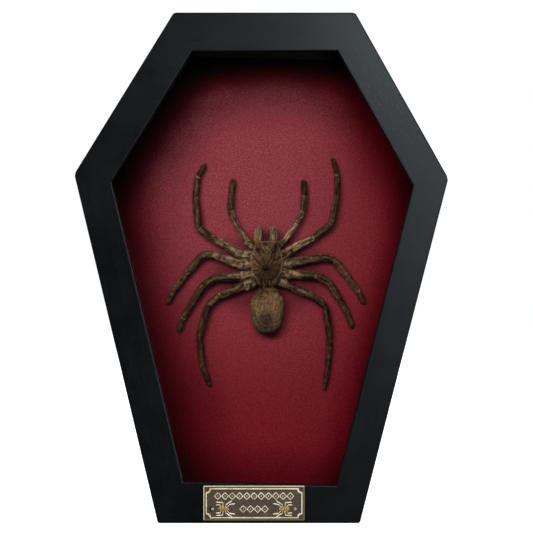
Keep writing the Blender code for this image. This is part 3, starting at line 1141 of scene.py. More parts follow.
@dataclass
class NamePlate:
    """Antique brass plate: raised border, two chains of raised diamonds and two small spiders."""

    thickness: float = 1.0 * MM
    corner: float = 0.6 * MM
    border_inset: float = 1.3 * MM
    border_width: float = 0.75 * MM
    relief: float = 0.4 * MM
    scallop: float = 2.4 * MM
    sunk: float = 0.15 * MM
    edge_easing: float = 0.18 * MM
    border_easing: float = 0.16 * MM
    chains: tuple[tuple[int, float], ...] = ((11, 4.2 * MM), (4, -3.4 * MM))
    diamond: Pair = (4.25 * MM, 4.0 * MM)
    diamond_gap: float = 0.12 * MM
    diamond_rod: float = 0.31 * MM
    bead: float = 0.42 * MM
    rod_rise: float = 0.08 * MM
    emblem_offset: float = 17.2 * MM
    emblem_drop: float = 3.4 * MM
    emblem_body: tuple[tuple[float, float, float, float], ...] = (
        (-2.0 * MM, 1.75 * MM, 1.8 * MM, 0.62 * MM),
        (0.6 * MM, 1.5 * MM, 1.6 * MM, 0.52 * MM),
    )
    emblem_head_ahead: float = 2.1 * MM
    emblem_head: Triple = (0.45 * MM, 0.34 * MM, 0.5 * MM)
    leg_sides: Pair = (-1, 0.94)
    leg_rods: Pair = (0.26 * MM, 0.40 * MM)
    emblem_legs: tuple[tuple[Pair, Pair, Pair], ...] = (
        ((0.3, 0.8), (0.9, 2.7), (4.1, 4.8)),
        ((1.0, 0.6), (2.9, 2.7), (5.8, 3.1)),
        ((-0.8, 0.9), (-1.2, 3.8), (-4.7, 4.0)),
        ((-1.5, 0.7), (-2.9, 2.5), (-4.9, 2.4)),
    )
    pin_half_spacing: float = 24.2 * MM
    pin_drop: float = 3.3 * MM
    pin_shade_shift: float = 0.55 * MM

    def __post_init__(self) -> None:
        """Read the plate's size and place from its solid."""
        low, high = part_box("name_plate")
        self.middle = (low + high) / 2
        self.half_width = (high.x - low.x) / 2
        self.half_height = (high.z - low.z) / 2
        self.face_y = high.y - self.thickness

    def build(self) -> None:
        """Make and dress the plate."""
        shape = bmesh.new()
        self._slab(shape)
        self._border(shape)
        for count, height in self.chains:
            self._chain(shape, count, height)
        for side in (-1, 1):
            for vert in self._emblem(shape, side):
                for face in vert.link_faces:
                    face.material_index = 1
        halves = ((Vector((1, 0, 0)), self.half_width), (Vector((0, 0, 1)), self.half_height))
        sides = [(axis * way, half + way * self.middle.dot(axis)) for axis, half in halves for way in (-1, 1)]
        # the painted shadow round the left pin sits a little to its left
        shade = self.middle + Vector((-self.pin_half_spacing - self.pin_shade_shift, 0, -self.pin_drop))
        shade.y = self.face_y
        brass = AntiqueBrass(self.face_y, self.relief, sides, [tuple(shade)]).material("antique_brass")
        finishes = [brass, GiltBrass().material("speckled_gilt")]
        mesh = mesh_of(shape, math.radians(40))
        add_piece("brass_plate", mesh, finishes, ["name_plate"])

    def _place(self, verts: Iterable[bmesh.types.BMVert], shape: bmesh.types.BMesh) -> None:
        """Move forms made round the plate's middle, with +Y to the front, to where the plate is.

        Args:
            verts: the forms' vertices.
            shape: the mesh that they are in.
        """
        there = Matrix.Translation((self.middle.x, self.face_y, self.middle.z))
        verts = list(verts)
        bmesh.ops.transform(shape, matrix=there @ Matrix.Scale(-1, 4, (0, 1, 0)), verts=verts)
        faces = list({face for vert in verts for face in vert.link_faces})
        bmesh.ops.recalc_face_normals(shape, faces=faces)

    def _slab(self, shape: bmesh.types.BMesh) -> None:
        """Make the plate itself, with small round corners and eased edges.

        Args:
            shape: the mesh, empty so far.
        """
        size = (self.half_width * 2, self.thickness, self.half_height * 2)
        turn = Matrix.Translation((0, -self.thickness / 2, 0)) @ Matrix.Diagonal((*size, 1))
        verts = bmesh.ops.create_cube(shape, size=1.0, matrix=turn)["verts"]
        upright = [e for e in shape.edges if abs((e.verts[0].co - e.verts[1].co).y) > self.thickness / 2]
        bevel(shape, upright, self.corner, 4)
        front = [
            e
            for e in shape.edges
            if all(v.co.y > -MM / 100 for v in e.verts) and any(abs(f.normal.y) < 0.5 for f in e.link_faces)
        ]
        bevel(shape, front, self.edge_easing, 3)
        self._place(list(shape.verts), shape)

    def _scalloped(self, inset: float) -> list[Pair]:
        """Outline with scooped-out corners.

        Args:
            inset: how far inside the plate's edge it runs.

        Returns:
            Its corners, in order.
        """
        half = (self.half_width - inset, self.half_height - inset)
        points = []
        steps = 7
        for side_x, side_z, turn in ((1, 1, 2), (1, -1, 1), (-1, -1, 0), (-1, 1, 3)):
            for step in range(steps + 1):
                angle = (turn + step / steps) * math.pi / 2
                points.append(
                    (
                        side_x * half[0] + self.scallop * math.cos(angle),
                        side_z * half[1] + self.scallop * math.sin(angle),
                    )
                )
        return points

    def _border(self, shape: bmesh.types.BMesh) -> None:
        """Make the raised line round the plate, rounded on top.

        Args:
            shape: the mesh that it joins.
        """
        before = set(shape.verts)
        loops = []
        for inset in (self.border_inset, self.border_inset + self.border_width):
            verts = [shape.verts.new((x, -self.sunk, z)) for x, z in self._scalloped(inset)]
            loops.append([shape.edges.new((a, b)) for a, b in zip(verts, verts[1:] + verts[:1])])
        band = bmesh.ops.bridge_loops(shape, edges=loops[0] + loops[1])["faces"]
        raised = bmesh.ops.extrude_face_region(shape, geom=band)["geom"]
        top = [v for v in raised if isinstance(v, bmesh.types.BMVert)]
        bmesh.ops.translate(shape, verts=top, vec=(0, self.sunk + self.relief, 0))
        top_set = set(top)
        crown = [
            e
            for e in {e for v in top for e in v.link_edges}
            if all(v in top_set for v in e.verts) and any(abs(f.normal.y) < 0.5 for f in e.link_faces)
        ]
        bevel(shape, crown, self.border_easing, 2)
        self._place([v for v in shape.verts if v not in before], shape)

    def _boss(
        self, shape: bmesh.types.BMesh, x: float, z: float, half: Triple, sides: int = 16
    ) -> list[bmesh.types.BMVert]:
        """A rounded boss on the plate.

        Args:
            shape: the mesh that it joins.
            x: across, from the plate's middle.
            z: up, from the plate's middle.
            half: its half sizes across, out and up.
            sides: how many sides it has.

        Returns:
            Its vertices.
        """
        place = Matrix.Translation((x, 0.0, z)) @ Matrix.Diagonal((*half, 1))
        made = bmesh.ops.create_uvsphere(
            shape, u_segments=sides, v_segments=sides // 2, radius=1.0, matrix=place
        )["verts"]
        self._place(made, shape)
        return made

    def _chain(self, shape: bmesh.types.BMesh, count: int, z: float) -> None:
        """Make a chain of open diamonds, each with a bead in it.

        Args:
            shape: the mesh that it joins.
            count: how many diamonds it has.
            z: up, from the plate's middle.
        """
        pitch, height = self.diamond
        half = (pitch / 2 - self.diamond_gap, height / 2)
        for index in range(count):
            x = (index - (count - 1) / 2) * pitch
            corners = [(x + half[0], z), (x, z + half[1]), (x - half[0], z), (x, z - half[1])]
            for start, end in zip(corners, corners[1:] + corners[:1]):
                self._rod(shape, start, end, self.diamond_rod)
            self._boss(shape, x, z, (self.bead, self.relief, self.bead), 8)

    def _rod(self, shape: bmesh.types.BMesh, start: Pair, end: Pair, radius: float) -> None:
        """Make a raised rod with round ends, lying on the plate.

        Args:
            shape: the mesh that it joins.
            start: where it starts, across and up from the plate's middle.
            end: where it ends.
            radius: half its thickness.
        """
        along = Vector((end[0] - start[0], 0, end[1] - start[1]))
        length = along.length
        made = bmesh.ops.create_uvsphere(shape, u_segments=8, v_segments=6, radius=1.0)["verts"]
        for vert in made:
            vert.co.z = math.copysign(abs(vert.co.z) ** 0.35, vert.co.z)
        size = Matrix.Diagonal((radius, radius, length / 2 + radius, 1))
        bmesh.ops.transform(shape, matrix=size, verts=made)
        turn = Vector((0, 0, 1)).rotation_difference(along).to_matrix()
        bmesh.ops.rotate(shape, verts=made, cent=(0, 0, 0), matrix=turn)
        middle = ((start[0] + end[0]) / 2, self.rod_rise, (start[1] + end[1]) / 2)
        bmesh.ops.translate(shape, verts=made, vec=middle)
        self._place(made, shape)

    def _emblem(self, shape: bmesh.types.BMesh, side: int) -> list[bmesh.types.BMVert]:
        """A small raised spider, its head towards the plate's middle.

        Args:
            shape: the mesh that it joins.
            side: -1 for the left one, 1 for the right one.

        Returns:
            The vertices of its gilt body.
        """
        x, z = side * self.emblem_offset, -self.emblem_drop
        body = []
        for ahead, long, wide, high in self.emblem_body:
            body += self._boss(shape, x - side * ahead, z, (long, high, wide))
        self._boss(shape, x - side * self.emblem_head_ahead, z, self.emblem_head, 8)
        for leg in self.emblem_legs:
            for up in self.leg_sides:
                root, knee, foot = ((x - side * ahead * MM, z - up * away * MM) for ahead, away in leg)
                self._rod(shape, root, knee, self.leg_rods[0])
                self._rod(shape, knee, foot, self.leg_rods[1])
        return body


@dataclass(frozen=True)
class DomedNail:
    """A round-headed nail or pin, turned."""

    name: str
    node: str
    outward: int
    head_radius: float
    head_height: float
    shank_radius: float

    def build(self, finish: bpy.types.Material, slot: str) -> None:
        """Turn the nail where its solid is.

        Args:
            finish: its material.
            slot: the record's slot for it; not used.
        """
        low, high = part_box(self.node)
        length = (high.y - low.y) - self.head_height
        seat = low.y + self.head_height if self.outward < 0 else high.y - self.head_height
        steps = 8
        angles = [math.pi / 2 * (1 - step / steps) for step in range(steps + 1)]
        wide, high_up = self.head_radius, self.head_height
        profile = [(wide * math.cos(a), high_up * (0.12 + 0.88 * math.sin(a))) for a in angles]
        profile[0] = (0.0, high_up)
        profile += [
            (wide * 0.94, 0.0),
            (self.shank_radius, 0.0),
            (self.shank_radius, -length * 0.86),
            (0.0, -length),
        ]
        shape = bmesh.new()
        verts = [shape.verts.new((radius, 0.0, height)) for radius, height in profile]
        edges = [shape.edges.new(pair) for pair in zip(verts, verts[1:])]
        bmesh.ops.spin(
            shape,
            geom=verts + edges,
            cent=(0, 0, 0),
            axis=(0, 0, 1),
            angle=2 * math.pi,
            steps=28,
            use_merge=True,
        )
        bmesh.ops.remove_doubles(shape, verts=shape.verts, dist=TOUCHING)
        bmesh.ops.recalc_face_normals(shape, faces=shape.faces)
        place = Matrix.Translation(((low.x + high.x) / 2, seat, (low.z + high.z) / 2))
        turn = Matrix.Rotation(-self.outward * math.pi / 2, 4, "X")
        bmesh.ops.transform(shape, matrix=place @ turn, verts=shape.verts)
        add_piece(self.name, mesh_of(shape, math.radians(50)), [finish], [self.node])


# ---------------------------------------------------------------------- spider


class Pigment(Enum):
    """Pigments of the dry spider, as linear colours."""

    BLACK_BROWN = (0.009, 0.0045, 0.0025)
    UMBER = (0.025, 0.0115, 0.006)
    BARK = (0.043, 0.0215, 0.011)
    CHESTNUT = (0.064, 0.0315, 0.0175)
    OLIVE = (0.070, 0.040, 0.022)
    TAN = (0.135, 0.080, 0.047)
    CREAM = (0.32, 0.225, 0.13)
    GOLD = (0.122, 0.065, 0.025)
    RUST = (0.115, 0.040, 0.009)
    DUSK = (0.033, 0.019, 0.015)
    MOSS = (0.066, 0.050, 0.031)
    ROSE_GREY = (0.125, 0.071, 0.046)


@dataclass
class SkinPoint:
    """What the surface is like at one point of the spider; lengths in millimetres."""

    place: Vector
    colour: Colour
    comb: Vector
    fur: float = 1.0
    length: float = 1.0


@dataclass(frozen=True)
class SpiderFrame:
    """The spider's own frame: x across, height off the board, z towards the head, in millimetres."""

    x: float = 2.8
    z: float = 149.6
    board_y: float = 9.2

    def matrix(self) -> Matrix:
        """From the spider's frame to the world, in metres."""
        flip = Matrix.Diagonal((MM, -MM, MM, 1.0))
        return Matrix.Translation((self.x * MM, self.board_y * MM, self.z * MM)) @ flip


class Skin:
    """A mesh of closed forms in millimetres, with the pigment, lie and length of hair at each point."""

    SEAM: float = 1e-4

    def __init__(self) -> None:
        """Start with no form."""
        self.shape = bmesh.new()
        verts = self.shape.verts.layers
        self.pigment = verts.float_color.new("pigment")
        self.comb = verts.float_vector.new("comb")
        self.fur = verts.float.new("fur")
        self.length = verts.float.new("length")

    def form(self, verts: Iterable[bmesh.types.BMVert], at: Callable[[Vector], SkinPoint]) -> None:
        """Give new vertices their place and looks.

        Args:
            verts: the vertices of a plain form.
            at: the skin at a point of that plain form.
        """
        for vert in verts:
            point = at(vert.co)
            vert.co = point.place
            vert[self.pigment] = (*point.colour, 1.0)
            vert[self.comb] = point.comb
            vert[self.fur] = point.fur
            vert[self.length] = point.length

    def ball(self, subdivisions: int, at: Callable[[Vector], SkinPoint]) -> None:
        """A closed form made from a round ball, whose x, y and z are across, height and ahead."""
        made = bmesh.ops.create_icosphere(self.shape, subdivisions=subdivisions, radius=1.0)["verts"]
        self.form(made, at)

    def roll(self, along: int, around: int, at: Callable[[Vector], SkinPoint]) -> None:
        """A sheet rolled into a tube and closed at both ends.

        Args:
            along: steps along the tube.
            around: steps round it.
            at: the skin at x along the tube, from 0 to 1, and y round it, from 0 to 1.
        """
        half = Matrix.Translation((0.5, 0.5, 0.0))
        made = bmesh.ops.create_grid(
            self.shape, x_segments=along, y_segments=around, size=0.5, matrix=half
        )["verts"]
        self.form(made, at)
        bmesh.ops.remove_doubles(self.shape, verts=made, dist=self.SEAM)

    def mesh(self, frame: SpiderFrame) -> bpy.types.Mesh:
        """Finish the mesh and put it in the world.

        Args:
            frame: the spider's frame.

        Returns:
            The mesh.
        """
        bmesh.ops.transform(self.shape, matrix=frame.matrix(), verts=self.shape.verts)
        bmesh.ops.recalc_face_normals(self.shape, faces=self.shape.faces)
        return mesh_of(self.shape)


def ripple(place: Vector, size: float, seed: float = 0.0) -> float:
    """Noise from -1 to 1 with humps about size millimetres wide."""
    return noise.noise(place / size + Vector((seed, seed * 1.7, -seed)))


class Segment(Enum):
    """The joints of a limb, from the body out."""

    COXA = 0
    TROCHANTER = 1
    FEMUR = 2
    PATELLA = 3
    TIBIA = 4
    METATARSUS = 5
    TARSUS = 6


@dataclass(frozen=True)
class SegmentForm:
    """How one segment of a limb is shaped and coloured."""

    taper: Pair
    streaks: float
    lumps: float
    # the colour on top, and the darker colour of the sides and underneath, which is partly painted shade
    top: Pigment
    side: Pigment
    fur: float
    length: float


FORMS: dict[Segment, SegmentForm] = {
    Segment.COXA: SegmentForm((1.0, 1.0), 1.5, 0.32, Pigment.TAN, Pigment.UMBER, 2.4, 1.2),
    Segment.TROCHANTER: SegmentForm((1.0, 1.0), 1.5, 0.34, Pigment.TAN, Pigment.UMBER, 2.2, 1.1),
    Segment.FEMUR: SegmentForm((1.08, 0.90), 1.4, 0.22, Pigment.TAN, Pigment.BARK, 0.9, 1.0),
    Segment.PATELLA: SegmentForm((0.94, 1.0), 1.3, 0.24, Pigment.OLIVE, Pigment.UMBER, 0.9, 1.0),
    Segment.TIBIA: SegmentForm((1.04, 0.94), 1.0, 0.20, Pigment.CHESTNUT, Pigment.UMBER, 1.1, 1.2),
    Segment.METATARSUS: SegmentForm((1.0, 0.95), 0.9, 0.18, Pigment.CHESTNUT, Pigment.UMBER, 1.3, 1.2),
    Segment.TARSUS: SegmentForm((1.0, 0.92), 0.7, 0.16, Pigment.CHESTNUT, Pigment.BLACK_BROWN, 1.5, 1.1),
}


@dataclass(frozen=True)
class LimbTone:
    """How light one limb is, from 1, at its root, thigh and shin, and where a segment differs from that."""

    root: float = 1.0
    thigh: float = 1.0
    shin: float = 1.0
    apart: tuple[tuple[Segment, float], ...] = ()

    def at(self, segment: Segment) -> float:
        """Find the tone of a segment.

        Args:
            segment: the segment.

        Returns:
            Its tone.
        """
        share = dict(self.apart).get(segment, 1.0)
        if segment.value < Segment.FEMUR.value:
            return share * self.root
        return share * (self.thigh if segment.value < Segment.TIBIA.value else self.shin)


@dataclass(frozen=True)
class Limb:
    """One leg or feeler as a rolled, jointed tube; lengths in millimetres."""

    joints: tuple[Pair, ...]
    heights: tuple[float, ...]
    radii: tuple[float, ...]
    segments: tuple[Segment, ...]
    tone: LimbTone
    seed: float
    step: float = 0.45
    around: int = 28
    bend: float = 2.2
    neck: float = 0.92

    def add_to(self, skin: Skin) -> None:
        """Roll the limb into the skin.

        Args:
            skin: the skin that it joins.
        """
        corners = [Vector((x, h, z)) for (x, z), h in zip(self.joints, self.heights)]
        marks = [0.0]
        for start, end in zip(corners, corners[1:]):
            marks.append(marks[-1] + (end - start).length)
        total = marks[-1]
        count = round(total / self.step)
        stations = [self._station(corners, marks, total * i / count) for i in range(count + 1)]

        def at(flat: Vector) -> SkinPoint:
            """Find the skin at a place of the unrolled sheet.

            Args:
                flat: x along the limb and y round it, both from 0 to 1.

            Returns:
                The skin there.
            """
            index = round(flat.x * count)
            angle = 2 * math.pi * round(flat.y * self.around) / self.around
            return self._point(stations[index], marks, total * index / count, angle % (2 * math.pi))

        skin.roll(count, self.around, at)

    @staticmethod
    def _on_line(corners: Sequence[Vector], marks: Sequence[float], distance: float) -> Vector:
        """Find the point at a distance along the straight runs between corners.

        Args:
            corners: the joints, from the root out.
            marks: their distances along the limb.
            distance: distance along the limb.

        Returns:
            The point.
        """
        distance = min(max(distance, 0.0), marks[-1])
        for start, end, low, high in zip(corners, corners[1:], marks, marks[1:]):
            if distance <= high:
                return start.lerp(end, (distance - low) / (high - low))
        return corners[-1].copy()

    def _station(
        self, corners: Sequence[Vector], marks: Sequence[float], distance: float
    ) -> tuple[Vector, Vector]:
        """Find the limb's middle and direction at a distance, with its bends eased.

        Args:
            corners: the joints, from the root out.
            marks: their distances along the limb.
            distance: distance along the limb.

        Returns:
            The middle, and the direction.
        """
        reach = min(self.bend, distance, marks[-1] - distance)
        around = [self._on_line(corners, marks, distance + reach * share / 3) for share in range(-3, 4)]
        middle = sum(around, Vector()) / len(around)
        ahead = self._on_line(corners, marks, distance + self.bend)
        behind = self._on_line(corners, marks, distance - self.bend)
        return middle, (ahead - behind).normalized()

    def _point(
        self, station: tuple[Vector, Vector], marks: Sequence[float], distance: float, angle: float
    ) -> SkinPoint:
        """The skin at a distance along the limb and an angle from its top.

        Args:
            station: the limb's middle and direction there.
            marks: distances of the joints.
            distance: distance along the limb.
            angle: angle round it, 0 on top.

        Returns:
            The skin there.
        """
        middle, ahead = station
        index = max(i for i in range(len(marks) - 1) if distance >= marks[i] - 1e-9)
        look = FORMS[self.segments[index]]
        length = marks[index + 1] - marks[index]
        before = distance - marks[index]
        after = marks[index + 1] - distance
        radius = self._radius(index, before, after, length)
        side = ahead.cross(Vector((0, 1, 0))).normalized()
        up = side.cross(ahead)
        if up.y < 0:
            up.negate()
        outward = side * math.sin(angle) + up * math.cos(angle)
        spot = middle + outward * radius
        near_joint = max(bell(before, 0, 0.8), bell(after, 0, 0.8))
        streak = self._streak(angle, distance)
        lump = ripple(spot, 1.9, self.seed) + 0.6 * ripple(spot, 0.9, self.seed + 5)
        swell = 0.16 * look.streaks * streak * (1 - near_joint) + look.lumps * lump
        swell *= min(radius / self.radii[index], 1.0) ** 2
        place = middle + outward * (radius + swell)
        top = 0.5 + 0.5 * math.cos(angle)
        # lighter on top, darker on the sides and underneath: partly the leg's own colouring, partly painted
        # shade
        colour = blend(soft_step(top, 0.1, 0.95), *self._pigments(index, before, after, length))
        # lighter on the raised streaks and lumps, darker in their hollows: partly streaking and mottle,
        # partly painted shade
        colour = darker(colour, max(1.0 + look.streaks * (0.9 * streak - 0.05) * (1 - near_joint), 0.25))
        colour = darker(colour, max(1.0 + 0.9 * lump, 0.25))
        tone = self.tone.at(self.segments[index])
        colour = darker(colour, tone)
        if index < 2:
            fleck = ripple(spot, 1.0, self.seed + 13) + 0.5 * streak
            golden = soft_step(ripple(spot, 2.2, self.seed + 17), 0.0, 0.35) * (1 - 0.6 * index)
            colour = blend(golden * 0.6, colour, darker(Pigment.GOLD.value, 1.1 * tone))
            colour = blend(soft_step(fleck, 0.05, 0.4) * 0.62 * tone, colour, Pigment.CREAM.value)
            # darker where the lumps sink: partly dark skin between the tufts, partly painted shade
            gap = soft_step(lump + 0.5 * ripple(spot, 1.3, self.seed + 23), 0.0, -0.35)
            colour = blend(gap * 0.85, colour, Pigment.BLACK_BROWN.value)
        # pale streaks on the top of the thigh: partly pale hair, partly painted highlight
        pale = soft_step(streak, 0.25, 0.9) * soft_step(distance, marks[3], marks[2] * 0.7) * self.tone.thigh
        colour = blend(pale * 0.45 * soft_step(top, 0.2, 0.6), colour, Pigment.CREAM.value)
        crease = bell(before, 0.15, 0.5) * (0.4 if index < 3 else 0.8)
        colour = blend(crease, colour, Pigment.BLACK_BROWN.value)
        if index + 1 < len(self.segments):
            bare = bell(after, 0.5, 0.6) * soft_step(top, 0.35, 0.85)
            bare *= 0.75 * soft_step(ripple(spot, 2.3, self.seed + 9), 0.15, 0.45)
            colour = blend(bare, colour, Pigment.CREAM.value)
        fur = look.fur * (1 - 0.7 * near_joint)
        return SkinPoint(place, colour, ahead, fur, look.length)

    def _streak(self, angle: float, distance: float) -> float:
        """Streak the skin and its hair lengthwise.

        Args:
            angle: angle round the limb, 0 on top.
            distance: distance along the limb.

        Returns:
            The streak there, from about -1 to 1.
        """
        across = Vector((math.cos(angle), math.sin(angle), 0.0)) * 1.9
        broad = noise.noise(across + Vector((self.seed, self.seed, distance / 9 + self.seed * 3)))
        fine = noise.noise(across * 2.4 + Vector((self.seed, 7.0, distance / 4.5)))
        return 1.2 * broad + 0.8 * fine

    def _pigments(self, index: int, before: float, after: float, length: float) -> tuple[Colour, Colour]:
        """Pass the pigment softly from one segment to the next.

        Args:
            index: the segment's number.
            before: distance from its near joint.
            after: distance to its far joint.
            length: its length.

        Returns:
            The side and the top pigment.
        """
        look = FORMS[self.segments[index]]
        other, share = look, 0.0
        if before < after and index > 0:
            other, share = FORMS[self.segments[index - 1]], 0.5 * soft_step(before, 2.0, 0.0)
        elif before >= after and index + 1 < len(self.segments):
            other, share = FORMS[self.segments[index + 1]], 0.5 * soft_step(after, 2.0, 0.0)
        side = blend(share, look.side.value, other.side.value)
        top = blend(share, look.top.value, other.top.value)
        if self.segments[index] is Segment.FEMUR:
            top = blend(soft_step(before / length, 0.15, 1.0) * 0.6, top, Pigment.OLIVE.value)
        return side, top

    def _radius(self, index: int, before: float, after: float, length: float) -> float:
        """Draw a segment in at its joints, with a low collar at its far end.

        Args:
            index: the segment's number.
            before: distance from its near joint.
            after: distance to its far joint.
            length: its length.

        Returns:
            Half its thickness there.
        """
        taper = FORMS[self.segments[index]].taper
        radius = self.radii[index] * (taper[0] + (taper[1] - taper[0]) * before / length)
        last = self.radii[max(index - 1, 0)]
        radius += (min(last, radius) - radius) * 0.6 * bell(before, 0, length * 0.3)
        necks = bell(before, 0, 0.75) + (bell(after, 0, 0.75) if index + 1 < len(self.radii) else 0.0)
        radius *= 1 - (1 - self.neck) * necks
        radius *= 1 + 0.03 * bell(after, 1.3, 0.6) + 0.05 * math.sin(math.pi * before / length)
        if index == 0:
            radius *= math.sqrt(1 - (1 - min(before / 1.2, 1.0)) ** 2)
        if index + 1 == len(self.radii):
            blunt = 2.3
            radius *= 1 - 0.18 * soft_step(before / length, 0.35, 1.0)
            radius *= math.sqrt(max(1 - (1 - min(after / blunt, 1.0)) ** 2, 0.0))
        return radius


@dataclass
class SpiderLimbs:
    """Eight legs and two feelers; places in millimetres from the pit in the back."""

    frame: SpiderFrame
    heights: tuple[float, ...] = (3.2, 3.5, 3.8, 4.6, 4.4, 3.2, 2.3, 1.8)
    radii: tuple[float, ...] = (2.7, 2.45, 2.12, 1.92, 1.82, 1.6, 1.38)
    feeler_heights: tuple[float, ...] = (3.4, 3.7, 4.0, 4.4, 4.0, 2.8, 2.0)
    feeler_radii: tuple[float, ...] = (1.8, 1.7, 1.42, 1.6, 1.65, 1.7)
    girths: tuple[float, ...] = (1.05, 0.93, 1.05, 1.02, 1.06, 1.06, 1.0, 0.97)
    tones: tuple[LimbTone, ...] = (
        LimbTone(1.0, 0.9, 0.8, ((Segment.COXA, 1.8), (Segment.TROCHANTER, 0.45), (Segment.TARSUS, 0.7))),
        LimbTone(
            1.15, 1.8, 0.85, ((Segment.PATELLA, 0.45), (Segment.METATARSUS, 0.7), (Segment.TARSUS, 0.75))
        ),
        LimbTone(1.0, 0.95, 1.0),
        LimbTone(1.05, 0.72, 1.15, ((Segment.TARSUS, 0.55),)),
        LimbTone(1.05, 0.62, 0.95, ((Segment.COXA, 0.85), (Segment.TROCHANTER, 1.3), (Segment.PATELLA, 1.3))),
        LimbTone(1.0, 0.65, 1.0, ((Segment.PATELLA, 0.8), (Segment.METATARSUS, 0.85))),
        LimbTone(1.1, 0.52, 0.65, ((Segment.COXA, 0.85), (Segment.TROCHANTER, 1.5), (Segment.PATELLA, 1.6))),
        LimbTone(1.0, 0.55, 0.6, ((Segment.COXA, 0.75), (Segment.TROCHANTER, 1.3), (Segment.PATELLA, 0.65))),
    )
    feeler_tones: tuple[LimbTone, ...] = (
        LimbTone(0.95, 0.95, 0.95),
        LimbTone(0.35, 1.6, 1.15, ((Segment.TARSUS, 0.4),)),
    )
    legs: tuple[tuple[Pair, ...], ...] = (
        (
            (-6, 6), (-14, 8), (-18, 10.3), (-33, 18.7),
            (-40.3, 24), (-42.3, 42.5), (-40.8, 55), (-36.3, 62.6),
        ),
        (
            (6, 5.8), (12.3, 9.2), (16, 11.9), (28.7, 18.8),
            (39.2, 27), (42.4, 43), (42.7, 56.5), (39.6, 66.3),
        ),
        (
            (-6, 2.5), (-13, 2.3), (-16.5, 2.5), (-32.2, 8.8),
            (-38.5, 8), (-48, -3.4), (-55.6, -14.2), (-59.4, -21.2),
        ),
        (
            (6.5, 2.5), (12.5, 3), (15.5, 3.6), (33, 6.9),
            (40.2, 5.8), (47.9, -4.1), (55.4, -13.8), (58.7, -21.2),
        ),
        (
            (-5.5, -2), (-12, -4.2), (-15, -4.8), (-30.4, -5.4),
            (-36.8, -9.3), (-44.7, -21.1), (-50.2, -30.6), (-52.4, -38),
        ),
        (
            (6, -1.8), (11.5, -2.8), (15, -3.2), (30.8, -4.5),
            (37, -7.9), (43.9, -17.9), (48.8, -27.3), (51.8, -35.6),
        ),
        (
            (-3.5, -5.5), (-9.5, -9.4), (-13, -10.2), (-28.3, -16.5),
            (-34.8, -22), (-40.2, -40.5), (-37.9, -59), (-33.6, -70.4),
        ),
        (
            (4, -5.5), (9.5, -8.4), (12.2, -9.4), (28.2, -16.6),
            (35.4, -22.3), (38, -40.5), (37, -58.5), (34.8, -72.7),
        ),
    )
    feelers: tuple[tuple[Pair, ...], ...] = (
        ((-4.5, 12.5), (-9.8, 14.3), (-12, 16.6), (-19.1, 28.8), (-21.5, 34.5), (-20.9, 45), (-19.5, 53.7)),
        ((5, 12.5), (9.5, 15.2), (11.5, 16.8), (18.3, 27), (22.1, 34), (23, 44), (22.5, 53.2)),
    )

    def build(self, finish: bpy.types.Material) -> bpy.types.Object:
        """Make all ten limbs as one piece.

        Args:
            finish: the skin's material.

        Returns:
            The limbs, which hair grows on.
        """
        skin = Skin()
        all_segments = tuple(Segment)
        for seed, (joints, girth, tone) in enumerate(zip(self.legs, self.girths, self.tones)):
            radii = tuple(radius * girth for radius in self.radii)
            Limb(joints, self.heights, radii, all_segments, tone, seed + 0.4).add_to(skin)
        short = tuple(s for s in Segment if s is not Segment.METATARSUS)
        for seed, (joints, tone) in enumerate(zip(self.feelers, self.feeler_tones)):
            Limb(
                joints, self.feeler_heights, self.feeler_radii, short, tone, seed + 20.4, step=0.4, around=24
            ).add_to(skin)
        return add_piece("tarantula_limbs", skin.mesh(self.frame), [finish])


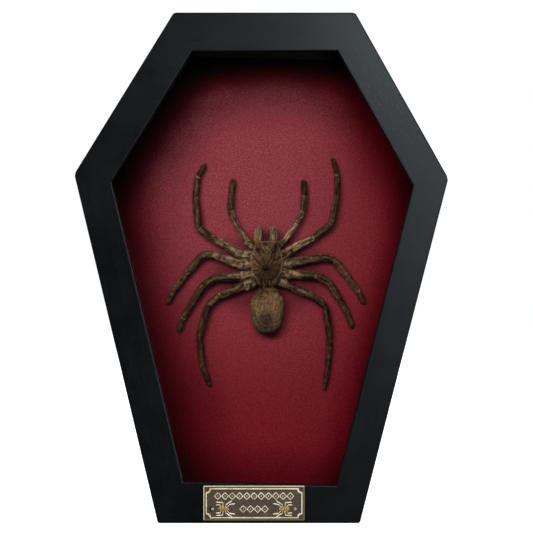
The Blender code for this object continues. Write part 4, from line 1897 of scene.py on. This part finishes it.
@dataclass
class SpiderBody:
    """Carapace, jaws, waist and abdomen; lengths in millimetres in the spider's frame."""

    frame: SpiderFrame
    carapace_middle: Triple = (0.3, 6.0, 4.2)
    carapace_rise: float = 4.3
    carapace_drop: float = 2.6
    outline_angles: tuple[float, ...] = (0, 15, 27.7, 37.6, 67, 90, 113, 130, 148, 180)
    outline_reaches: tuple[float, ...] = (12.0, 12.5, 13.7, 10.6, 9.4, 9.1, 9.6, 10.4, 11.9, 12.1)
    brow: float = 2.0
    shield_gold: Colour = (0.138, 0.083, 0.037)
    sand: Colour = (0.115, 0.068, 0.032)
    furrow_angles: tuple[float, ...] = (24, 52, 78, 104, 132, 158)
    abdomen_middle: Triple = (0.7, 5.9, -24.6)
    abdomen_half: Triple = (9.9, 5.4, 14.7)
    jaw_x: Pair = (-4.5, 4.1)
    jaw_middle: Pair = (5.1, 19.3)
    jaw_half: Triple = (2.5, 3.1, 5.6)
    knobs: tuple[Pair, ...] = ((-1.7, -37.4), (1.6, -37.2), (4.4, -36.2))
    eyes: tuple[Triple, ...] = (
        (-0.85, 14.75, 0.30), (0.15, 14.75, 0.30), (-1.6, 14.9, 0.24), (0.9, 14.9, 0.24),
        (-1.5, 14.1, 0.22), (0.8, 14.1, 0.22), (-0.95, 14.0, 0.18), (0.25, 14.0, 0.18),
    )

    def build(self, finish: bpy.types.Material, horn: bpy.types.Material) -> bpy.types.Object:
        """Make the body, then the eyes and fangs.

        Args:
            finish: the skin's material.
            horn: the material of eyes and fangs.

        Returns:
            The body, which hair grows on.
        """
        skin = Skin()
        skin.ball(6, self._abdomen)
        skin.ball(6, self._carapace)
        skin.ball(4, self._sternum)
        skin.ball(4, self._waist)
        for x in self.jaw_x:
            skin.ball(5, lambda n, x=x: self._jaw(n, x))
        for x, z in self.knobs:
            skin.ball(3, lambda n, x=x, z=z: self._knob(n, x, z))
        body = add_piece(
            "tarantula_body", skin.mesh(self.frame), [finish], ["tarantula"]
        )
        self._horn(horn)
        return body

    def _outline(self, angle: float) -> float:
        """How far the carapace's edge is from its middle; angle in degrees from straight ahead."""
        return float(np.interp(abs(angle), self.outline_angles, self.outline_reaches))

    def _carapace(self, n: Vector) -> SkinPoint:
        """Shape and colour the back shield.

        Args:
            n: a direction from its middle, one long.

        Returns:
            The skin there.
        """
        across, height, ahead = n
        angle = math.degrees(math.atan2(across, ahead))
        reach = math.hypot(across, ahead)
        edge = sum(self._outline(angle + turn) for turn in (-6, -3, 0, 3, 6)) / 5
        middle = self.carapace_middle
        heading = Vector((across, ahead)) / max(reach, 1e-6)
        flat = reach**0.92 * edge
        x = middle[0] + heading.x * flat
        z = middle[2] + heading.y * flat
        upper = height > 0
        if upper:
            y = middle[1] + self.carapace_rise * height**0.85
        else:
            y = middle[1] + self.carapace_drop * height
        away = math.hypot(x, z)
        spoke = math.atan2(x, z)
        on_top = soft_step(height, 0.08, 0.3)
        open_field = soft_step(away, 1.6, 3.6) * soft_step(height, 0.12, 0.4)
        streak = ripple(Vector((math.cos(spoke) * 11, math.sin(spoke) * 11, away * 0.22)), 1.0, 3.0)
        fine = ripple(Vector((math.cos(spoke) * 19, math.sin(spoke) * 19, away * 0.45)), 1.0, 7.0)
        furrow = sum(bell(math.degrees(abs(spoke)), a, 5.5) for a in self.furrow_angles)
        caput = (1 - soft_step(abs(x), 3.0 + 0.18 * z, 4.2 + 0.22 * z)) * soft_step(z, 1.0, 7.0)
        groove = bell(abs(x), 3.7 + 0.22 * z, 0.7) * soft_step(z, 1.5, 5.0) * soft_step(z, 13.0, 10.5)
        pit = bell(z, -0.75 + 0.13 * x * x, 0.5) * math.exp(-((x / 1.75) ** 4))
        mound = math.exp(-(((x + 0.35) / 2.0) ** 4)) * bell(z, 14.5, 1.0)
        rim = bell(height, 0.15, 0.10) * soft_step(abs(angle), 170, 145) * soft_step(abs(angle), 20, 34)
        y += self.brow * soft_step(z, 8.0, 13.0) * (1 - soft_step(abs(x), 5.4, 8.0))
        y += on_top * (0.9 * caput - 0.5 * groove + 0.8 * mound - 1.2 * pit)
        y += open_field * (0.26 * streak + 0.16 * fine - 0.38 * furrow)
        y += 0.16 * on_top * ripple(Vector((x, y, z)), 1.4, 9.0)
        x += heading.x * 0.35 * rim
        z += heading.y * 0.35 * rim
        y += 0.25 * rim
        # golden on the raised streaks, dark in the furrows: partly the shield's own streaking, partly painted
        # shade
        lit = 0.50 + 0.55 * streak + 1.3 * fine - 0.45 * bell(streak, 0.0, 0.09) - 0.35 * furrow
        colour = blend(lit * open_field * 0.9, darker(Pigment.UMBER.value, 0.9), self.shield_gold)
        grey = soft_step(x, 2.0, -5.0) * soft_step(z, -3.0, 2.0)
        colour = blend(0.35 * grey * soft_step(lit, 0.3, 0.8), colour, Pigment.ROSE_GREY.value)
        colour = blend(soft_step(z, 3.0, -3.0) * 0.6, colour, darker(Pigment.UMBER.value, 1.1))
        # painted shade down the middle of the back, and painted light on the left flank
        shaded = bell(x, 0.5, 5.0) * soft_step(z, 10.0, 5.0)
        colour = darker(colour, 1 - 0.26 * shaded + 0.4 * soft_step(x, -4.0, -7.0) * soft_step(z, 11.0, 7.0))
        rust = bell(abs(x), 5.3, 1.3) * bell(z, 14.6, 2.2) * (0.6 + 1.6 * fine)
        colour = blend(0.6 * rust, colour, Pigment.RUST.value)
        colour = blend(0.8 * bell(z, 16.3, 0.45) * on_top, colour, Pigment.CREAM.value)
        colour = blend(0.5 * mound, colour, Pigment.MOSS.value)
        eyed = bell(z, 14.6, 0.5) * math.exp(-(((x + 0.3) / 1.5) ** 4))
        colour = blend(eyed, colour, Pigment.BLACK_BROWN.value)
        colour = blend(1.2 * pit, colour, darker(Pigment.BLACK_BROWN.value, 0.5))
        golden = blend(0.45 + 0.3 * soft_step(x, -2.0, 6.0), Pigment.TAN.value, Pigment.CREAM.value)
        colour = blend(rim * (1.0 + 0.5 * ripple(Vector((x, y, z)), 0.8, 15.0)), colour, golden)
        if not upper:
            colour = Pigment.GOLD.value
        comb = Vector((x, -0.15, z)).normalized()
        fur = 0.9 if upper else 1.6
        fur *= 1 - 0.8 * max(pit, rim)
        return SkinPoint(Vector((x, y, z)), colour, comb, fur, 0.8 if upper else 1.5)

    def _abdomen(self, n: Vector) -> SkinPoint:
        """Shape and colour the rear body.

        Args:
            n: a direction from its middle, one long.

        Returns:
            The skin there.
        """
        across, height, ahead = (math.copysign(abs(v) ** 0.88, v) for v in n)
        across *= 1 - 0.10 * soft_step(ahead, 0.15, 1.0)
        middle, half = self.abdomen_middle, self.abdomen_half
        x = middle[0] + across * half[0]
        y = middle[1] + height * half[1] * (1.0 if height > 0 else 0.9)
        z = middle[2] + ahead * half[2]
        place = Vector((x, y, z))
        out = Vector((across / half[0], height / half[1], ahead / half[2])).normalized()
        top = soft_step(height, -0.2, 0.5)
        broad = ripple(place, 6.5, 2.0)
        crumple = 0.7 * ripple(place, 2.4, 4.0) + 0.6 * ripple(Vector((x, y, z * 0.6)), 1.1, 6.0)
        pucker = ripple(Vector((x, y, z * 0.55)), 0.75, 8.0)
        left_pits = soft_step(x, 1.0, -3.0) * soft_step(z, -32.0, -26.0)
        left_pits *= soft_step(ripple(place, 1.0, 12.0), 0.15, 0.5)
        fold = bell(z, -13.7 - 0.02 * (x - 1.5) ** 2, 0.55) * bell(x, 0.8, 4.6) * top
        dent = bell(x, -0.6, 4.6) * bell(z, -32.5, 4.6) * top
        rear_lumps = soft_step(ahead, -0.62, -0.85) * (0.5 + 0.5 * math.cos(across * 14.0))
        swell = 0.36 * broad + 0.40 * crumple + 0.14 * pucker - 0.45 * left_pits
        swell += 0.32 * rear_lumps - 0.35 * fold - 0.55 * dent
        place += out * swell
        speckle = ripple(place, 0.9, 21.0)
        gilded = soft_step(x, 4.0, -3.0) * soft_step(z, -27.0, -20.0)
        # lighter on the raised crumples and puckers, darker in their hollows: partly mottle, partly painted
        # shade
        colour = blend(0.6 - 0.6 * gilded + 0.8 * crumple, Pigment.GOLD.value, self.sand)
        tone = 0.95 + 0.5 * pucker + 0.5 * broad + 0.6 * crumple + 0.7 * speckle + 0.1 * (x - 0.7) / half[0]
        colour = darker(colour, max(tone, 0.25))
        heart = bell(x, 1.4, 1.2) * soft_step(z, -24.0, -20.0) * soft_step(z, -12.5, -15.0)
        colour = blend(0.35 * heart, colour, Pigment.UMBER.value)
        rosy = bell(x, 0.9, 2.6) * bell(z, -23.2, 2.8)
        colour = blend(0.7 * rosy, colour, Pigment.ROSE_GREY.value)
        edge = math.hypot(across, ahead)
        mossy = soft_step(edge, 0.6, 0.9) * soft_step(z, -16.0, -26.0) + 0.6 * soft_step(z, -32.0, -37.0)
        colour = blend(0.8 * mossy, colour, darker(Pigment.MOSS.value, 0.95 + 0.5 * speckle))
        patch = bell(x + 0.8 * broad, 0.2, 5.2) * bell(z + 1.5 * crumple, -31.0, 6.2)
        patch = soft_step(patch + 0.35 * crumple, 0.16, 0.85)
        colour = blend(0.93 * patch, colour, darker(Pigment.DUSK.value, 0.95 + 0.9 * speckle))
        low_right = soft_step(x, 2.0, 6.0) * soft_step(z, -28.0, -34.0)
        colour = blend(0.5 * low_right, colour, Pigment.OLIVE.value)
        # darker in the pits and the fold: partly their own colour, partly painted shade
        colour = blend(0.75 * left_pits, colour, Pigment.UMBER.value)
        colour = blend(0.55 * fold, colour, Pigment.UMBER.value)
        # painted shade on the rear slope and where the front meets the waist
        colour = darker(colour, 1 - 0.65 * soft_step(z, -34.0, -38.5) - 0.16 * soft_step(z, -17.0, -14.0))
        colour = blend(soft_step(height, 0.05, -0.5), colour, Pigment.UMBER.value)
        comb = Vector((0.25 * across, -0.2, -1.0)).normalized()
        front = soft_step(z, -16.0, -11.5)
        return SkinPoint(place, colour, comb, 0.5 + 0.9 * front, 0.7 + 1.0 * front)

    def _sternum(self, n: Vector) -> SkinPoint:
        """The breast plate under the body."""
        place = Vector((0.2 + n.x * 7.6, 3.6 + n.y * 2.8, 3.0 + n.z * 8.8))
        return SkinPoint(place, Pigment.UMBER.value, Vector((0, 0, -1)), 0.8, 0.8)

    def _waist(self, n: Vector) -> SkinPoint:
        """Shape and colour the narrow, tufted waist.

        Args:
            n: a direction from its middle, one long.

        Returns:
            The skin there.
        """
        place = Vector((0.5 + n.x * 4.4, 6.3 + n.y * 2.9, -9.4 + n.z * 3.6))
        place += n * 0.4 * ripple(place, 1.6, 2.0)
        tuft = soft_step(ripple(Vector((place.x, 0.0, place.z * 0.25)), 0.75, 3.0), -0.05, 0.3)
        colour = blend(tuft, Pigment.BLACK_BROWN.value, darker(Pigment.TAN.value, 1.5))
        return SkinPoint(place, colour, Vector((n.x * 0.9, 0.6, -0.4)).normalized(), 7.0, 1.8)

    def _jaw(self, n: Vector, middle_x: float) -> SkinPoint:
        """Shape and colour one of the two blunt, furry jaws.

        Args:
            n: a direction from its middle, one long.
            middle_x: the middle's place across.

        Returns:
            The skin there.
        """
        across, height, ahead = (math.copysign(abs(v) ** power, v) for v, power in zip(n, (0.8, 0.8, 0.62)))
        across *= 1 - 0.14 * soft_step(ahead, -0.5, 1.0)
        half = self.jaw_half
        side = -1 if middle_x < 0 else 1
        lean = -0.05 * side * (ahead + 1) * half[0]
        place = Vector(
            (
                middle_x + across * half[0] + lean,
                self.jaw_middle[0] + height * half[1] * (1 - 0.22 * soft_step(ahead, 0.2, 1.0)),
                self.jaw_middle[1] + ahead * half[2],
            )
        )
        grooves = ripple(Vector((across * 2.6, height * 2.0, ahead * 0.5 + middle_x)), 0.6, 4.0)
        place += n * (0.25 * grooves + 0.12 * ripple(place, 0.9, 2.0))
        rim = bell(across * side, 0.88, 0.14)
        tuft = ripple(place, 0.7, 11.0)
        pale = darker(blend(0.3, Pigment.TAN.value, Pigment.MOSS.value), 1.5)
        # paler on the raised ridges, darker in the grooves: partly streaking, partly painted shade
        colour = blend(0.75 + 1.3 * grooves + tuft, Pigment.BARK.value, pale)
        colour = blend(soft_step(grooves + 0.5 * tuft, 0.2, 0.6) * 0.5, colour, Pigment.CREAM.value)
        colour = blend(0.7 * rim, colour, Pigment.CREAM.value)
        # painted shade on the inner side, between the jaws, and on the rear, under the shield's brow
        colour = blend(0.9 * bell(across * side, -1.0, 0.35), colour, Pigment.BLACK_BROWN.value)
        colour = blend(soft_step(ahead, -0.45, -0.75), colour, Pigment.BLACK_BROWN.value)
        comb = Vector((0.12 * across, -0.1, 1.0)).normalized()
        return SkinPoint(place, colour, comb, 1.6, 1.1)

    def _knob(self, n: Vector, x: float, z: float) -> SkinPoint:
        """A small lump at the rear."""
        place = Vector((x + n.x * 1.2, 8.3 + n.y * 1.1, z + n.z * 1.1))
        return SkinPoint(place, Pigment.BARK.value, Vector((0, 0, -1)), 0.5, 0.6)

    def _horn(self, horn: bpy.types.Material) -> None:
        """Make eight small eyes and two folded fangs.

        Args:
            horn: their material.
        """
        skin = Skin()
        for x, z, radius in self.eyes:
            height = 10.95 - 0.3 * abs(x + 0.35) - 0.2 * abs(z - 14.5)
            middle = Vector((x, height, z))
            skin.ball(2, lambda n, m=middle, r=radius: SkinPoint(m + n * r, Pigment.UMBER.value, n, 0.0, 0.0))
        for x in self.jaw_x:
            skin.roll(24, 10, lambda flat, x=x: self._fang(flat, x))
        add_piece("tarantula_eyes_and_fangs", skin.mesh(self.frame), [horn])

    def _fang(self, flat: Vector, x: float) -> SkinPoint:
        """Curl a fang under the jaw's tip.

        Args:
            flat: x along the fang, from 0 to 1, and y round it, from 0 to 1.
            x: the jaw's place across.

        Returns:
            The horn there.
        """
        turn = math.radians(-20 + 130 * flat.x)
        middle = Vector((x, 3.6 - 2.4 * math.sin(turn), 18.4 + 4.6 * math.cos(turn)))
        radius = 0.75 * math.sqrt(max(flat.x, 0.0) * (1 - flat.x) * 4) * (1.25 - 0.8 * flat.x)
        angle = 2 * math.pi * round(flat.y * 10) / 10
        out_x, out_y = math.cos(angle), math.sin(angle)
        outward = Vector((out_x, -math.sin(turn) * out_y, math.cos(turn) * out_y))
        return SkinPoint(middle + outward * radius, Pigment.UMBER.value, outward, 0.0, 0.0)


@dataclass(frozen=True)
class Fur:
    """Hairs of one sort, each a closed, tapered spike; lengths in metres."""

    name: str
    count: int
    length: Pair
    thickness: float
    lift: Pair
    light: Pair
    seed: int
    stray: float = 0.175
    lowest: float = 0.12 * MM

    def grow(self, skin: bpy.types.Object, frame: SpiderFrame, finish: bpy.types.Material) -> None:
        """Grow the hairs on a skin.

        Args:
            skin: the piece that they grow from.
            frame: the spider's frame, for the board that they stay off.
            finish: their material.
        """
        random = np.random.default_rng(self.seed)
        mesh = skin.data
        corners = self._corners(mesh)
        places = self._read(mesh, "position", 3)
        fur = self._read(mesh, "fur", 1)[:, 0]
        sides = places[corners]
        areas = np.linalg.norm(np.cross(sides[:, 1] - sides[:, 0], sides[:, 2] - sides[:, 0]), axis=1) / 2
        weights = np.cumsum(areas * fur[corners].mean(axis=1))
        chosen = corners[np.searchsorted(weights, random.random(self.count) * weights[-1])]
        first = np.sqrt(random.random((self.count, 1)))
        second = random.random((self.count, 1))
        shares = np.hstack([1 - first, first * (1 - second), first * second])

        def mixed(values: np.ndarray) -> np.ndarray:
            """Values of the vertices, read at the hairs' roots."""
            return (values[chosen] * shares[:, :, None]).sum(axis=1)

        roots = mixed(places)
        normals = self._unit(mixed(self._normals(mesh)))
        comb = mixed(self._read(mesh, "comb", 3)) * np.array([1.0, -1.0, 1.0])
        comb = self._unit(comb - normals * (comb * normals).sum(axis=1, keepdims=True) + 1e-9)
        lift = random.uniform(*self.lift, (self.count, 1))
        stray = random.normal(0, self.stray, (self.count, 3))
        aim = self._unit(comb * np.cos(lift) + normals * np.sin(lift) + stray)
        length = random.uniform(*self.length, (self.count, 1)) * mixed(self._read(mesh, "length", 1))
        pigment = mixed(self._read(mesh, "pigment", 4))
        pigment[:, :3] *= random.uniform(*self.light, (self.count, 1))
        self._spikes(roots, aim, normals, length, pigment, frame, finish, random)

    def _spikes(
        self,
        roots: np.ndarray,
        aim: np.ndarray,
        normals: np.ndarray,
        length: np.ndarray,
        pigment: np.ndarray,
        frame: SpiderFrame,
        finish: bpy.types.Material,
        random: np.random.Generator,
    ) -> None:
        """Join all hairs in one mesh.

        Args:
            roots: where the hairs start.
            aim: their directions.
            normals: the skin's normals there.
            length: their lengths.
            pigment: their colours.
            frame: the spider's frame.
            finish: their material.
            random: the source of their turns.
        """
        across = self._unit(np.cross(aim, random.normal(size=aim.shape)))
        other = np.cross(aim, across)
        base = roots - aim * 0.08 * MM
        thick = self.thickness / 2 * random.uniform(0.7, 1.3, length.shape)
        angles = (0.0, 2 * math.pi / 3, 4 * math.pi / 3)
        ring = [base + (across * math.cos(a) + other * math.sin(a)) * thick for a in angles]
        tip = roots + aim * length - normals * length * random.uniform(0.0, 0.18, length.shape)
        verts = np.stack([*ring, tip], axis=1).reshape(-1, 3)
        floor = frame.board_y * MM - self.lowest
        verts[:, 1] = np.minimum(verts[:, 1], floor)
        pattern = np.array([[0, 1, 3], [1, 2, 3], [2, 0, 3], [2, 1, 0]])
        faces = (pattern[None] + 4 * np.arange(self.count)[:, None, None]).reshape(-1, 3)
        mesh = bpy.data.meshes.new(self.name)
        mesh.from_pydata(verts.tolist(), [], faces.tolist())
        tints = np.repeat(pigment, 4, axis=0)
        tints[:, 3] = 1.0
        mesh.attributes.new("pigment", "FLOAT_COLOR", "POINT").data.foreach_set("color", tints.ravel())
        mesh.shade_smooth()
        add_piece(self.name, mesh, [finish])

    @staticmethod
    def _unit(vectors: np.ndarray) -> np.ndarray:
        """Vectors made one long."""
        return vectors / np.maximum(np.linalg.norm(vectors, axis=1, keepdims=True), 1e-12)

    @staticmethod
    def _corners(mesh: bpy.types.Mesh) -> np.ndarray:
        """Find the three vertices of each triangle.

        Args:
            mesh: the skin's mesh.

        Returns:
            Their numbers, a row for each triangle.
        """
        mesh.calc_loop_triangles()
        corners = np.empty(len(mesh.loop_triangles) * 3, np.int32)
        mesh.loop_triangles.foreach_get("vertices", corners)
        return corners.reshape(-1, 3)

    @staticmethod
    def _normals(mesh: bpy.types.Mesh) -> np.ndarray:
        """Read the vertices' normals.

        Args:
            mesh: the skin's mesh.

        Returns:
            The normals, as rows.
        """
        normals = np.empty(len(mesh.vertices) * 3, np.float32)
        mesh.vertex_normals.foreach_get("vector", normals)
        return normals.reshape(-1, 3).astype(float)

    @staticmethod
    def _read(mesh: bpy.types.Mesh, name: str, width: int) -> np.ndarray:
        """Read one attribute of the vertices.

        Args:
            mesh: the skin's mesh.
            name: the attribute's name.
            width: how many numbers it has for each vertex.

        Returns:
            The numbers, as rows.
        """
        values = np.empty(len(mesh.vertices) * width, np.float32)
        key = {1: "value", 3: "vector", 4: "color"}[width]
        mesh.attributes[name].data.foreach_get(key, values)
        return values.reshape(-1, width).astype(float)


# ------------------------------------------------------------------------- main


def main() -> None:
    """Build the studio, then the object's pieces in order."""
    logging.basicConfig(level=logging.INFO, format="%(message)s")
    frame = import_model()
    nodes = frame["nodes"]
    Studio().build()
    PaintedFrame(nodes).build()
    covering = Leatherette(upright_sides(nodes["glass_pane"]))
    dress(nodes["backing_board"], covering.material("crimson_leatherette"))
    dress(nodes["glass_pane"], ClearGlass().material("clear_glass"))
    dress(nodes["back_panel"], PressedBoard(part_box("back_panel")[0].y).material("hardboard"))
    steel = ZincSteel().material("zinc_steel")
    dress(nodes["sawtooth_hanger"], steel)
    for side in ("left", "right"):
        DomedNail(f"hanger_nail_{side}_turned", f"hanger_nail_{side}", 1, 1.9 * MM, 0.7 * MM, 0.6 * MM).build(
            steel, "zinc_steel"
        )
    NamePlate().build()
    pin_brass = GiltBrass((0.60, 0.54, 0.37), (0.13, 0.105, 0.06), 0.1).material("pin_brass")
    for side in ("left", "right"):
        DomedNail(f"plate_pin_{side}_turned", f"plate_pin_{side}", -1, 0.95 * MM, 0.7 * MM, 0.5 * MM).build(
            pin_brass, "antique_brass"
        )
    spider = SpiderFrame()
    skin = DrySkin().material("spider_skin")
    body = SpiderBody(spider).build(skin, DarkHorn().material("dark_horn"))
    limbs = SpiderLimbs(spider).build(skin)
    bristle = Bristle().material("bristle")
    for fur, grower in (
        (Fur("limb_down", 48000, (0.7 * MM, 1.2 * MM), 0.07 * MM, (0.25, 0.8), (0.4, 1.9), 11), limbs),
        (Fur("limb_bristles", 22000, (1.2 * MM, 2.6 * MM), 0.055 * MM, (0.4, 1.15), (0.4, 2.1), 12), limbs),
        (Fur("body_down", 26000, (0.6 * MM, 1.1 * MM), 0.065 * MM, (0.12, 0.5), (0.5, 1.6), 13), body),
        (Fur("body_bristles", 6000, (1.1 * MM, 2.0 * MM), 0.06 * MM, (0.35, 1.0), (0.4, 2.1), 14), body),
    ):
        fur.grow(grower, spider, bristle)
    bpy.context.view_layer.update()


if __name__ == "__main__":
    main()
